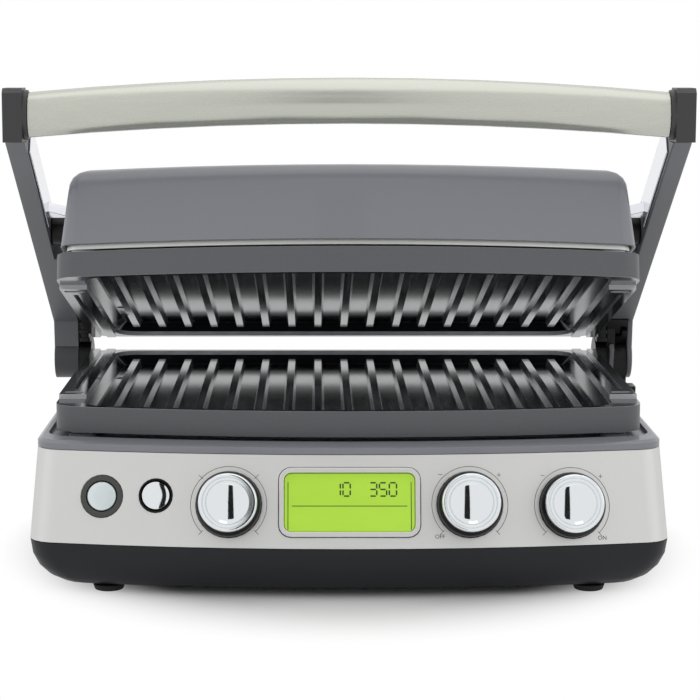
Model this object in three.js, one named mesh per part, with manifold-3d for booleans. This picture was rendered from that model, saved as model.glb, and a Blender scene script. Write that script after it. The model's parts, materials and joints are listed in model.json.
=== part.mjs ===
// An electric contact grill with a floating lid, two ribbed cooking plates and a bowed control panel.
// Millimetres. X points to the right, Y to the back, Z up. While it is built, the arm hinge axis lies at
// Y = 0 and the counter at Z = 0; the finished grill is then centred over its origin.
import * as THREE from "three";
import { mergeVertices } from "three/addons/utils/BufferGeometryUtils.js";
import Module from "manifold-3d";

const wasm = await Module();
wasm.setup();

// Shared clearances
const SEAT = 0.3; // between pieces that rest on or in one another
const RUNNING = 0.4; // around a piece that turns or slides
const OVERRUN = 3; // how far a cutter passes the face that it opens
const MERGE = 0.001; // points closer than this are one point
const DEGREE = Math.PI / 180;

// Cooking plates, one above the other
const PLATE_WIDTH = 328;
const PLATE_HALF = PLATE_WIDTH / 2;
const PLATE_FRONT = -251.5; // middle of the bowed front edge
const PLATE_REAR = -11;
const PLATE_BOW = 710; // radius of the bowed front edge
const PLATE_CORNER = 14;
const PLATE_RIM = 14.4; // height of the rim
const PLATE_LIP = 5; // width of the rim at the front and the back
const PLATE_FLOOR = 4.5; // thickness of the cooking floor
const PLATE_HOLLOW = 1.8; // depth of the hollow underneath
const PLATE_HOLLOW_MARGIN = 12; // from the plate's edge to the hollow
const PLATE_FILLET = 5; // how far the pan's sloping wall reaches inwards
const RAIL_WIDTH = 15.5; // raised border along each side
const RAIL_RISE = 2.6;
const RAIL_SETBACK = 43; // from the front edge to the start of the rails
const RAIL_SLOT_WIDTH = 11.5;
const RAIL_SLOT_LENGTH = 6;
const RAIL_SLOT_CORNER = 2;
const RAIL_SLOT_DEPTH = 3;
const RAIL_SLOT_SETBACK = 4;
const RAIL_GROOVE_WIDTH = 4;
const RAIL_GROOVE_DEPTH = 2.2;
const RAIL_GROOVE_START = 18; // behind the start of the rail
const RIB_COUNT = 17;
const RIB_MARGIN = 14; // from the pan's side to the middle of the outermost rib
const RIB_TOP_WIDTH = 4.4;
const RIB_FOOT_WIDTH = 6.6;
const RIB_HEIGHT = 4.6;
const RIB_END_GAP = 7; // from the pan's wall to the end of a rib
const DRAIN_RADIUS = 4;
const DRAIN_WELL = 8; // radius of the deck's hole under it
const DRAIN_SETBACK = 70; // in front of the plate's rear edge
const PAD_SIZE = 12; // the plate's four feet
const PAD_INSET = 15;
const PAD_HEIGHT = 1.8; // below the plate's rim
const TAB_SHARE = 0.55; // of the half width, where the two rear tabs stand
const TAB_WIDTH = 14;
const TAB_REACH = 4.5;
const TAB_THICKNESS = 3;
const TAB_RISE = 2; // above the plate's lower edge

// Base
const BASE_REAR = -1;
const PANEL_BOTTOM = 28.5;
const PANEL_TOP = 77.5;
const PANEL_BEYOND_FRONT = 31.5;
const PANEL_FRONT = PLATE_FRONT - PANEL_BEYOND_FRONT; // lower edge, in the middle
const PANEL_LEAN = 17; // degrees back from upright
const PANEL_BOW = 850;
const PANEL_BEYOND_BOTTOM = 12; // lower edge beyond the plates, at each side
const PANEL_BEYOND_TOP = 8.7;
const PANEL_HALF_BOTTOM = PLATE_HALF + PANEL_BEYOND_BOTTOM;
const PANEL_HALF_TOP = PLATE_HALF + PANEL_BEYOND_TOP;
const PANEL_CORNER = 16;
const PANEL_SHEET = 1.2;
const PANEL_WRAP_REAR = -130; // where the sheet ends on each side
const HOUSING_WALL = 2.5;
const HOUSING_BOTTOM = 3.5;
const UNDER_SIDE = 24; // how far the rounded underside draws in
const UNDER_FRONT = 14;
const UNDER_REAR = 10;
const UNDER_STEPS = 5;
const DECK_BOTTOM = PANEL_TOP + SEAT;
const DECK_HEIGHT = 4.8;
const DECK_TOP = DECK_BOTTOM + DECK_HEIGHT;
const PLATE_RISE = 1.6; // of the lower plate's rim above the deck
const PLATE_BOTTOM = DECK_TOP + PLATE_RISE;
const DECK_EDGE = 1.6; // height of the deck's sloping shoulder
const DECK_SHOULDER = 2.4; // how far that shoulder draws in
const DECK_FLOOR = 2.4; // thickness under the recess
const DECK_RECESS_CLEAR = 4; // recess around the plate
const DECK_OPENING_MARGIN = 26; // from the plate's edge to the opening below it
const DECK_BOSS = 8; // radius of the bosses that carry the plate's feet
const HOOK_HEIGHT = 10; // of the hooks that hold a plate's tabs, above its lower edge
const HOOK_ROOM = 1; // above the tab
const HOOK_DEPTH = 6;
const HOOK_MARGIN = 4; // on each side of the tab
const HOOK_LINK = 2; // thickness of the hooks' floor
const FOOT_RADIUS = 9;
const FOOT_TAPER = 1.2;
const FOOT_INSET = 43.5; // from the panel's side to the foot's middle
const FOOT_SETBACK = 29; // from the panel's lower edge and from the base's rear to a foot's middle
const FOOT_FRONT = PANEL_FRONT + FOOT_SETBACK;
const FOOT_REAR = BASE_REAR - FOOT_SETBACK;

// Heating
const PAN_SHEET = 0.8;
const PAN_DEPTH = 10;
const PAN_FLANGE = 5;
const ELEMENT_RADIUS = 3.5;
const ELEMENT_SIDES = 6;
const ELEMENT_STEPS = 56;
const ELEMENT_MARGIN = 44; // from the plate's edge to the element's run
const ELEMENT_GAP = 36; // between the element's two cold ends
const ELEMENT_END_LENGTH = 24; // of the ends that turn away from the plate
const ELEMENT_BEND = 30;
const ELEMENT_TURN = 10; // bend of the ends
const SENSOR_RADIUS = 5;
const SENSOR_PLACE = 66; // to the right of the middle

// Controls, in the panel's own frame: x to the right, y up the slope, z outwards
const KNOB_RADIUS = 17.7;
const KNOB_CAP_RADIUS = 15.9;
const KNOB_SKIRT = 8;
const KNOB_CAP = 7.3;
const KNOB_SINK = 3; // depth of the skirt behind the panel
const KNOB_CAP_LAP = 2; // the skirt's spigot inside the cap
const KNOB_RING = 2.6; // width of each concentric step of the cap
const KNOB_STEP = 0.7; // drop of each step
const KNOB_SIDES = 28;
const KNOB_DROP = -1; // below the panel's middle
// Places across the panel, as shares of its upper half width
const PLATE_KNOB_SHARE = -0.379;
const TEMPERATURE_KNOB_SHARE = 0.377;
const TIME_KNOB_SHARE = 0.701;
const START_SHARE = -0.781;
const SEAR_SHARE = -0.609;
const SCREEN_SHARE = 0.411; // width of the window
const SHAFT_RADIUS = 3;
const ENCODER_SIZE = 13;
const ENCODER_DEPTH = 6.5;
const BUTTON_RISE = 4.2;
const START_RING = 11.5;
const START_CAP = 8.2;
const SEAR_RING = 9.1;
const SEAR_CAP = 8;
const RING_DEPTH = 7;
const RING_PROUD = 0.8;
const BUTTON_DEPTH = 5;
const BUTTON_CROWN = 0.5;
const BUTTON_STEM = 2.5;
const BUTTON_TRAVEL = 1.2;
const SWITCH_SIZE = 7;
const SWITCH_DEPTH = 4;
const SCREEN_WIDTH = SCREEN_SHARE * PANEL_HALF_TOP;
const SCREEN_HEIGHT = 32;
const SCREEN_FRAME = 2.8;
const SCREEN_CORNER = 4;
const SCREEN_FRAME_DEPTH = 5;
const SCREEN_FRAME_PROUD = 1;
const SCREEN_SHEET = 1.4;
const SCREEN_RECESS = 1.2;
const BOARD_CLEAR = 13.7; // behind the panel at the outermost button
const BOARD_SHEET = 1.6;
const BOARD_MARGIN = 9.2; // beyond the outermost button
const BOARD_HEIGHT = 36;

// Power and wiring
const BOARD_POST = 5; // radius of the posts under the power board
const POWER_BOARD = [90, 110];
const POWER_BOARD_PLACE = [60, -120];
const POWER_BOARD_HEIGHT = 12;
const RELAY = [26, 30, 22];
const TERMINAL_BLOCK = [40, 18, 16];
const GLAND_RADIUS = 8;
const GLAND_FLANGE = 11;
const GLAND_BORE = 3.6;
const GLAND_PROUD = 3;
const GLAND_DEPTH = 10;
const GLAND_PLACE = [110, 40];

// Drip tray, which slides out to the left
const TRAY_REACH = 118;
const TRAY_DEPTH = 78;
const TRAY_HEIGHT = 24;
const TRAY_WALL = 2;
const TRAY_FLOOR = 33;
const TRAY_REAR = -42;
const TRAY_FRONT_LIP = 3;
const TRAY_GRIP = 14;
const SHELF_SHEET = 2;

// Hinge of the arms
const HINGE_RISE = 9.4; // above the deck
const HINGE_HEIGHT = DECK_TOP + HINGE_RISE;
const HUB_RADIUS = 13.5;
const HINGE_PIN = 5;
const TOWER_CLEAR = 2; // between the plates and the towers
const TOWER_FRONT = -16;
const POST_FRONT = -13;
const POST_REAR = -1;
const POST_RADIUS = 12.2;
const LUG_FRONT = -30;
const LUG_REAR = -15;
const LUG_DROP = 15; // below the hinge's axis
const LUG_TOP = HINGE_HEIGHT - LUG_DROP;
const LUG_HEIGHT = 13;
const LUG_FOOT = LUG_TOP - LUG_HEIGHT;
const LUG_STEM = 3; // thickness where it runs along the housing

// Arms, drawn with the grill shut: "along" runs from the hinge to the handle, "off" square to that, upwards
const ARM_BEYOND = 26; // outer faces of the arms beyond the plates
const HALF_SPAN = PLATE_HALF + ARM_BEYOND;
const ARM_SLOPE = 15; // degrees above level when shut
const ARM_LIFT = 16.3; // degrees that the arms stand open here
const ARM_LOW = 15.2;
const ARM_HIGH = 40;
const ARM_THIN = 10.7;
const ARM_THICK = 15.7;
const ARM_STEP = 118; // where the arm becomes thick
const ARM_HEEL = 24;
const ARM_NECK_SHARE = 0.9; // of the hub's radius, the arm's half width beside the hub
const ARM_BACK_SHARES = [0.6, 1.4]; // of the hub's radius, behind and above the hub
const ARM_CHEEK = 3.6;
const ARM_POCKET = 32;
const CAM_RADIUS = 24;
const CAM_FROM = 22;
const CAM_TO = 76;
const CAM_SHEET = 7;
const TRIM_SHEET = 0.8;
const TRIM_MARGIN = 3;
const TRIM_FROM = 157;
const GUSSET_LENGTH = 9; // of the bright gusset over the lid's stud
const GUSSET_WIDTH = 6.5;
const GUSSET_CLEAR = 2; // between the gusset and the cover
const HANDLE_ALONG = 274.5;
const ARM_SHORT = 2.5; // from the arm's end to the handle's middle line
const ARM_END = HANDLE_ALONG - ARM_SHORT;
const HANDLE_OFF = 28.8;
const HANDLE_BOW = 15.6;
const HANDLE_TALL = 25;
const HANDLE_THICK = 19;
const HANDLE_WALL = 2;
const HANDLE_STATIONS = 10;
const HANDLE_SIDES = 16;
const BLOCK_TALL = 29.6;
const BLOCK_THICK = 21;
const BLOCK_CHAMFER = 2.6;
const BLOCK_COLLAR = 2.6; // length of the collar round the tube's end
const BLOCK_COLLAR_PROUD = 1.2;
const BLOCK_SPIGOT = 6;
const BLOCK_SPIGOT_ROOM = 1.5; // between the spigot and the tube that bows away
const LEVER_FRONT = -20;
const LEVER_SHEET = 2.8;
const LEVER_RISE = 11; // above the hinge's axis
const LEVER_TOP = HINGE_HEIGHT + LEVER_RISE;
const LEVER_THICK = 3.2;

// Lid
const PLATE_GAP = 0.3; // between the rails when shut
const LID_GAP = 2.1; // between the upper plate and the steel pan
const LID_EDGE = 4.6; // from the upper plate to the cover's lower edge
const LID_HEIGHT = 45.4;
const LID_INSET = 1.8; // cover's lower edge inside the plate's edge
const LID_SIDE_DRAW = 3.8;
const LID_CROWN = 13;
const LID_WALL = 1.8;
const LID_STEPS = 5;
const LID_PAN_INSET = 5.4;
const LID_PAN_HEIGHT = 9;
const LID_PAN_SHEET = 1;
const PIVOT_ALONG = 134.9;
const PIVOT_OFF = 27.6;
const PIVOT_STUB = 9.5;
const PIVOT_PIN = 5;
const PIVOT_REACH = 14;
const BRACKET_SIZE = 26;
const BRACKET_SHEET = 6;
const BRACKET_INSET = 10.2; // from the plate's edge, clear of the cover's crown
const BRACKET_CREST = 2; // above the pivot pin

// Outline resolution
const BOW_STEPS = 10;
const CORNER_STEPS = 4;
const ROUND_SIDES = 24;
const SMALL_SIDES = 16;
const CORNER_LEAST_SHARE = 1 / 3; // of a corner's radius, what an inset leaves of it

// Finishes
const finish = {
  graphitePaint: { color: 0x808186, roughness: 0.42, metalness: 0.2 },
  armPlastic: { color: 0x76777b, roughness: 0.5, metalness: 0.05 },
  charcoal: { color: 0x333438, roughness: 0.55, metalness: 0 },
  blackPlastic: { color: 0x1c1c1e, roughness: 0.5, metalness: 0 },
  brushedSteel: { color: 0xc8c8c6, roughness: 0.32, metalness: 1 },
  brushedAluminium: { color: 0xc0c2b8, roughness: 0.36, metalness: 1 },
  chrome: { color: 0xdadcdc, roughness: 0.1, metalness: 1 },
  castPlate: { color: 0x5c5f63, roughness: 0.4, metalness: 0.4 },
  rubber: { color: 0x161617, roughness: 0.85, metalness: 0 },
  sheetSteel: { color: 0x9da0a3, roughness: 0.4, metalness: 1 },
  screen: { color: 0xa9e83a, roughness: 0.3, metalness: 0 },
  circuitBoard: { color: 0x1f5a36, roughness: 0.6, metalness: 0 },
};

// Solids

/** Turns a closed three.js geometry into a solid that can be joined and cut. */
function solid(geometry) {
  const bare = geometry.clone();
  bare.deleteAttribute("normal");
  bare.deleteAttribute("uv");
  const merged = mergeVertices(bare, MERGE);
  return new wasm.Manifold(
    new wasm.Mesh({
      numProp: 3,
      vertProperties: merged.attributes.position.array,
      triVerts: new Uint32Array(merged.index.array),
    }),
  );
}

/** Turns a solid back into a geometry. */
function geometryOf(made) {
  const mesh = made.getMesh();
  const geometry = new THREE.BufferGeometry();
  geometry.setAttribute("position", new THREE.BufferAttribute(new Float32Array(mesh.vertProperties), 3));
  geometry.setIndex(new THREE.BufferAttribute(new Uint32Array(mesh.triVerts), 1));
  geometry.computeVertexNormals();
  return geometry;
}

/** A prism that stands on an outline in X and Y. */
function prism(points, bottom, top) {
  const geometry = new THREE.ExtrudeGeometry(new THREE.Shape(points), {
    depth: top - bottom,
    bevelEnabled: false,
    steps: 1,
  });
  return solid(geometry.translate(0, 0, bottom));
}

const ACROSS = new THREE.Matrix4().makeBasis(
  new THREE.Vector3(0, 1, 0),
  new THREE.Vector3(0, 0, 1),
  new THREE.Vector3(1, 0, 0),
);

/** A slab whose outline lies in Y and Z, from one X to another. */
function slab(points, left, right) {
  const geometry = new THREE.ExtrudeGeometry(new THREE.Shape(points), {
    depth: right - left,
    bevelEnabled: false,
    steps: 1,
  });
  return solid(geometry.translate(0, 0, left).applyMatrix4(ACROSS));
}

/** A box between two corners. */
function box(x0, x1, y0, y1, z0, z1) {
  const geometry = new THREE.BoxGeometry(x1 - x0, y1 - y0, z1 - z0);
  return solid(geometry.translate((x0 + x1) / 2, (y0 + y1) / 2, (z0 + z1) / 2));
}

/** A turned piece about the Z axis, from [radius, height] points that start and end on the axis. */
function turned(profile, sides) {
  const geometry = new THREE.LatheGeometry(
    profile.map(([radius, height]) => new THREE.Vector2(radius, height)),
    sides,
  );
  return solid(geometry.rotateX(Math.PI / 2));
}

/** The points of a circle. */
function circle(x, y, radius, sides = ROUND_SIDES) {
  return Array.from({ length: sides }, (_, i) => {
    const turn = (2 * Math.PI * i) / sides;
    return new THREE.Vector2(x + radius * Math.cos(turn), y + radius * Math.sin(turn));
  });
}

/** A solid through a stack of outlines that have equally many points. */
function loft(sections) {
  const count = sections[0].points.length;
  const position = sections.flatMap(({ z, points }) => points.flatMap((p) => [p.x, p.y, z]));
  const index = [];
  for (let level = 0; level < sections.length - 1; level += 1) {
    for (let i = 0; i < count; i += 1) {
      const here = level * count + i;
      const next = level * count + ((i + 1) % count);
      index.push(here, next, next + count, here, next + count, here + count);
    }
  }
  const last = (sections.length - 1) * count;
  const lid = (points) => THREE.ShapeUtils.triangulateShape(points, []);
  lid(sections[0].points).forEach(([a, b, c]) => index.push(c, b, a));
  lid(sections.at(-1).points).forEach(([a, b, c]) => index.push(a + last, b + last, c + last));
  const geometry = new THREE.BufferGeometry();
  geometry.setAttribute("position", new THREE.Float32BufferAttribute(position, 3));
  geometry.setIndex(index);
  return solid(geometry);
}

/** An outline with a bowed front and four rounded corners, anticlockwise from the front's left end. */
function bowedOutline({ half, front, rear, bow, corner }, inset = 0) {
  const side = half - inset;
  const back = rear - inset;
  const radius = bow - inset;
  const round = Math.max(corner - inset, corner * CORNER_LEAST_SHARE);
  const bowCentre = front + bow;
  const centreX = side - round;
  const centreY = bowCentre - Math.sqrt((radius - round) ** 2 - centreX ** 2);
  const reach = Math.atan2(centreX, bowCentre - centreY);
  const points = [];
  for (let i = 0; i <= BOW_STEPS; i += 1) {
    const turn = -reach + (2 * reach * i) / BOW_STEPS;
    points.push(new THREE.Vector2(radius * Math.sin(turn), bowCentre - radius * Math.cos(turn)));
  }
  const arc = (x, y, from, to) => {
    for (let i = 1; i <= CORNER_STEPS; i += 1) {
      const turn = from + ((to - from) * i) / CORNER_STEPS;
      points.push(new THREE.Vector2(x + round * Math.cos(turn), y + round * Math.sin(turn)));
    }
  };
  const quarter = Math.PI / 2;
  arc(centreX, centreY, reach - quarter, 0);
  points.push(new THREE.Vector2(side, back - round));
  arc(centreX, back - round, 0, quarter);
  points.push(new THREE.Vector2(-centreX, back));
  arc(-centreX, back - round, quarter, 2 * quarter);
  points.push(new THREE.Vector2(-side, centreY));
  arc(-centreX, centreY, 2 * quarter, 3 * quarter - reach);
  points.pop();
  return points;
}

/** A rectangle with rounded corners about a middle point. */
function roundedRectangle(x, y, width, height, corner) {
  const shape = [];
  const quarter = Math.PI / 2;
  [[1, -1], [1, 1], [-1, 1], [-1, -1]].forEach(([right, up], k) => {
    for (let i = 0; i <= CORNER_STEPS; i += 1) {
      const turn = (k - 1) * quarter + (quarter * i) / CORNER_STEPS;
      shape.push(
        new THREE.Vector2(
          x + right * (width / 2 - corner) + corner * Math.cos(turn),
          y + up * (height / 2 - corner) + corner * Math.sin(turn),
        ),
      );
    }
  });
  return shape;
}

const point = (x, y) => new THREE.Vector2(x, y);

// The scene graph

const grill = new THREE.Group();

/** Adds a named piece to a group. */
function add(group, name, made, look) {
  const mesh = new THREE.Mesh(geometryOf(made), new THREE.MeshStandardMaterial(finish[look]));
  mesh.name = name;
  group.add(mesh);
  return mesh;
}

// Cooking plates

const plateOutline = {
  half: PLATE_HALF,
  front: PLATE_FRONT,
  rear: PLATE_REAR,
  bow: PLATE_BOW,
  corner: PLATE_CORNER,
};
const PLATE_TOP = PLATE_BOTTOM + PLATE_RIM;
const FLOOR_TOP = PLATE_BOTTOM + PLATE_HOLLOW + PLATE_FLOOR;
const PAN_HALF = PLATE_HALF - RAIL_WIDTH;
const PAN_FRONT = PLATE_FRONT + PLATE_LIP;
const PAN_REAR = PLATE_REAR - PLATE_LIP;
const RAIL_FRONT = PLATE_FRONT + RAIL_SETBACK;
const DRAIN_X = -(PAN_HALF - PLATE_FILLET - DRAIN_RADIUS);
const DRAIN_Y = PLATE_REAR - DRAIN_SETBACK;
const RECESS_FLOOR = DECK_BOTTOM + DECK_FLOOR;

const padEnds = [PLATE_FRONT + PAD_INSET + PLATE_CORNER, PLATE_REAR - PAD_INSET];
const padPlaces = [-1, 1].flatMap((side) => padEnds.map((y) => [side * (PLATE_HALF - PAD_INSET), y]));

/** The ribbed plate, as the lower one lies; rails and ribs face up. */
function ribbedPlate() {
  const pan = { half: PAN_HALF, front: PAN_FRONT, rear: PAN_REAR, bow: PLATE_BOW, corner: PLATE_CORNER };
  let plate = prism(bowedOutline(plateOutline), PLATE_BOTTOM, PLATE_TOP);
  const railTop = PLATE_TOP + RAIL_RISE;
  [-1, 1].forEach((side) => {
    const outer = side * (PLATE_HALF);
    const inner = side * PAN_HALF;
    const middle = (outer + inner) / 2;
    const edges = [Math.min(outer, inner), Math.max(outer, inner)];
    const rail = box(...edges, RAIL_FRONT, PLATE_REAR - PLATE_CORNER, PLATE_BOTTOM + PLATE_RIM / 2, railTop);
    plate = plate.add(rail);
    const slotMiddle = RAIL_FRONT + RAIL_SLOT_SETBACK + RAIL_SLOT_LENGTH / 2;
    const slot = roundedRectangle(middle, slotMiddle, RAIL_SLOT_WIDTH, RAIL_SLOT_LENGTH, RAIL_SLOT_CORNER);
    plate = plate.subtract(prism(slot, railTop - RAIL_SLOT_DEPTH, railTop + OVERRUN));
    plate = plate.subtract(
      box(
        middle - RAIL_GROOVE_WIDTH / 2,
        middle + RAIL_GROOVE_WIDTH / 2,
        RAIL_FRONT + RAIL_GROOVE_START,
        PLATE_REAR - PLATE_CORNER + OVERRUN,
        railTop - RAIL_GROOVE_DEPTH,
        railTop + OVERRUN,
      ),
    );
  });
  plate = plate.subtract(
    loft([
      { z: FLOOR_TOP, points: bowedOutline(pan, PLATE_FILLET) },
      { z: PLATE_TOP - RAIL_RISE, points: bowedOutline(pan) },
      { z: railTop + OVERRUN, points: bowedOutline(pan) },
    ]),
  );
  const ribFront = PAN_FRONT + PLATE_FILLET + RIB_END_GAP;
  const ribRear = PAN_REAR - PLATE_FILLET - RIB_END_GAP;
  const ribTop = FLOOR_TOP + RIB_HEIGHT;
  const ribPitch = (2 * (PAN_HALF - RIB_MARGIN)) / (RIB_COUNT - 1);
  for (let i = 0; i < RIB_COUNT; i += 1) {
    const x = (i - (RIB_COUNT - 1) / 2) * ribPitch;
    const sag = PLATE_BOW - Math.sqrt(PLATE_BOW ** 2 - x ** 2);
    const foot = RIB_FOOT_WIDTH / 2;
    const crest = RIB_TOP_WIDTH / 2;
    const ends = (inset, width) => [
      point(x - width, ribFront + sag + inset),
      point(x + width, ribFront + sag + inset),
      point(x + width, ribRear - inset),
      point(x - width, ribRear - inset),
    ];
    plate = plate.add(
      loft([
        { z: FLOOR_TOP - PLATE_FLOOR / 2, points: ends(0, foot) },
        { z: FLOOR_TOP, points: ends(0, foot) },
        { z: ribTop, points: ends(RIB_HEIGHT / 2, crest) },
      ]),
    );
  }
  const hollow = bowedOutline(plateOutline, PLATE_HOLLOW_MARGIN);
  plate = plate.subtract(prism(hollow, PLATE_BOTTOM - OVERRUN, PLATE_BOTTOM + PLATE_HOLLOW));
  const padBottom = PLATE_BOTTOM - PAD_HEIGHT;
  padPlaces.forEach(([x, y]) => {
    const half = PAD_SIZE / 2;
    plate = plate.add(box(x - half, x + half, y - half, y + half, padBottom, FLOOR_TOP - PLATE_FLOOR / 2));
  });
  [-1, 1].forEach((side) => {
    const x = side * TAB_SHARE * PLATE_HALF;
    const half = TAB_WIDTH / 2;
    const bottom = PLATE_BOTTOM + TAB_RISE;
    const top = bottom + TAB_THICKNESS;
    plate = plate.add(box(x - half, x + half, PLATE_REAR - PLATE_LIP, PLATE_REAR + TAB_REACH, bottom, top));
  });
  const drain = circle(DRAIN_X, DRAIN_Y, DRAIN_RADIUS, SMALL_SIDES);
  return plate.subtract(prism(drain, PLATE_BOTTOM - OVERRUN, railTop));
}

const MIRROR_HEIGHT = PLATE_TOP + RAIL_RISE + PLATE_GAP / 2;
const lidSideUp = (made) => made.mirror([0, 0, 1]).translate([0, 0, 2 * MIRROR_HEIGHT]);
const lowerPlate = ribbedPlate();
add(grill, "lower_plate", lowerPlate, "castPlate");

// Base shell

const PANEL_DRAW = Math.tan(PANEL_LEAN * DEGREE);
const PANEL_FLARE = (PANEL_HALF_BOTTOM - PANEL_HALF_TOP) / (PANEL_TOP - PANEL_BOTTOM);

/** The base's outline at a height on the panel or the deck. */
function baseOutline(z) {
  return {
    half: PANEL_HALF_BOTTOM - PANEL_FLARE * (z - PANEL_BOTTOM),
    front: PANEL_FRONT + PANEL_DRAW * (z - PANEL_BOTTOM),
    rear: BASE_REAR,
    bow: PANEL_BOW,
    corner: PANEL_CORNER,
  };
}

/** The base's outline on the rounded underside; the share is 1 at the panel and 0 at the bottom. */
function underOutline(heightShare) {
  const draw = 1 - Math.sqrt(1 - (1 - heightShare) ** 2);
  const top = baseOutline(PANEL_BOTTOM);
  return {
    ...top,
    half: top.half - UNDER_SIDE * draw,
    front: top.front + UNDER_FRONT * draw,
    rear: top.rear - UNDER_REAR * draw,
  };
}

/** The base's outer form from the bottom to a height, drawn in by an inset. */
function baseForm(bottom, top, inset) {
  const sections = [];
  for (let i = 0; i < UNDER_STEPS; i += 1) {
    const heightShare = 1 - Math.cos(((i / UNDER_STEPS) * Math.PI) / 2);
    const z = bottom + (PANEL_BOTTOM - bottom) * heightShare;
    sections.push({ z, points: bowedOutline(underOutline(heightShare), inset) });
  }
  sections.push({ z: PANEL_BOTTOM, points: bowedOutline(baseOutline(PANEL_BOTTOM), inset) });
  sections.push({ z: top, points: bowedOutline(baseOutline(top), inset) });
  return loft(sections);
}

/** The straight part of the base's form, between two heights on the panel. */
function panelForm(bottom, top, inset) {
  return loft([
    { z: bottom, points: bowedOutline(baseOutline(bottom), inset) },
    { z: top, points: bowedOutline(baseOutline(top), inset) },
  ]);
}

// The panel's own frame

const PANEL_MIDDLE = (PANEL_BOTTOM + PANEL_TOP) / 2;
const panelFrame = new THREE.Group();
panelFrame.position.set(0, PANEL_FRONT + PANEL_DRAW * (PANEL_MIDDLE - PANEL_BOTTOM), PANEL_MIDDLE);
panelFrame.rotation.x = Math.PI / 2 - PANEL_LEAN * DEGREE;
grill.add(panelFrame);
panelFrame.updateMatrix();
const PANEL_MATRIX = panelFrame.matrix.elements;
const ontoPanel = (made) => made.transform(PANEL_MATRIX);

/** How far the bowed panel lies behind its middle, square to the panel, at a distance from the middle. */
const panelSag = (x) => -(PANEL_BOW - Math.sqrt(PANEL_BOW ** 2 - x ** 2)) * Math.cos(PANEL_LEAN * DEGREE);
const BOARD_BACK = BOARD_CLEAR - panelSag(START_SHARE * PANEL_HALF_TOP);

const knobs = [
  { name: "plate", x: PLATE_KNOB_SHARE * PANEL_HALF_TOP },
  { name: "temperature", x: TEMPERATURE_KNOB_SHARE * PANEL_HALF_TOP },
  { name: "time", x: TIME_KNOB_SHARE * PANEL_HALF_TOP },
];
const buttons = [
  { name: "start", x: START_SHARE * PANEL_HALF_TOP, ring: START_RING, cap: START_CAP },
  { name: "sear", x: SEAR_SHARE * PANEL_HALF_TOP, ring: SEAR_RING, cap: SEAR_CAP },
];
const CUT_DEPTH = KNOB_RADIUS;
const frameWidth = SCREEN_WIDTH + 2 * SCREEN_FRAME;
const frameHeight = SCREEN_HEIGHT + 2 * SCREEN_FRAME;
const knobHole = KNOB_RADIUS + RUNNING;
const panelCut = (x, points) => prism(points, panelSag(x) - CUT_DEPTH, panelSag(x) + CUT_DEPTH);
const screenCorner = SCREEN_CORNER + SCREEN_FRAME;
const panelHoles = [
  ...knobs.map(({ x }) => panelCut(x, circle(x, KNOB_DROP, knobHole, KNOB_SIDES))),
  ...buttons.map(({ x, ring }) => panelCut(x, circle(x, BUTTON_RISE, ring + SEAT))),
  panelCut(0, roundedRectangle(0, 0, frameWidth + 2 * SEAT, frameHeight + 2 * SEAT, screenCorner)),
].map(ontoPanel);
const cutPanelHoles = (made) => panelHoles.reduce((rest, hole) => rest.subtract(hole), made);

/** The steel sheet that wraps round the front. */
function panelSheet() {
  const bottom = PANEL_BOTTOM + SEAT;
  const sheet = panelForm(bottom, PANEL_TOP, 0).subtract(
    panelForm(bottom - OVERRUN, PANEL_TOP + OVERRUN, PANEL_SHEET),
  );
  const behind = box(
    -PANEL_HALF_BOTTOM - OVERRUN,
    PANEL_HALF_BOTTOM + OVERRUN,
    PANEL_WRAP_REAR,
    BASE_REAR + OVERRUN,
    PANEL_BOTTOM - OVERRUN,
    PANEL_TOP + OVERRUN,
  );
  return cutPanelHoles(sheet.subtract(behind));
}
add(grill, "front_panel", panelSheet(), "brushedSteel");

const TRAY_X_INNER = -PANEL_HALF_BOTTOM + TRAY_REACH;
const TRAY_FRONT_Y = TRAY_REAR - TRAY_DEPTH;
const TRAY_TOP = TRAY_FLOOR + TRAY_HEIGHT;
const HOUSING_FLOOR = HOUSING_BOTTOM + HOUSING_WALL;

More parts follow.
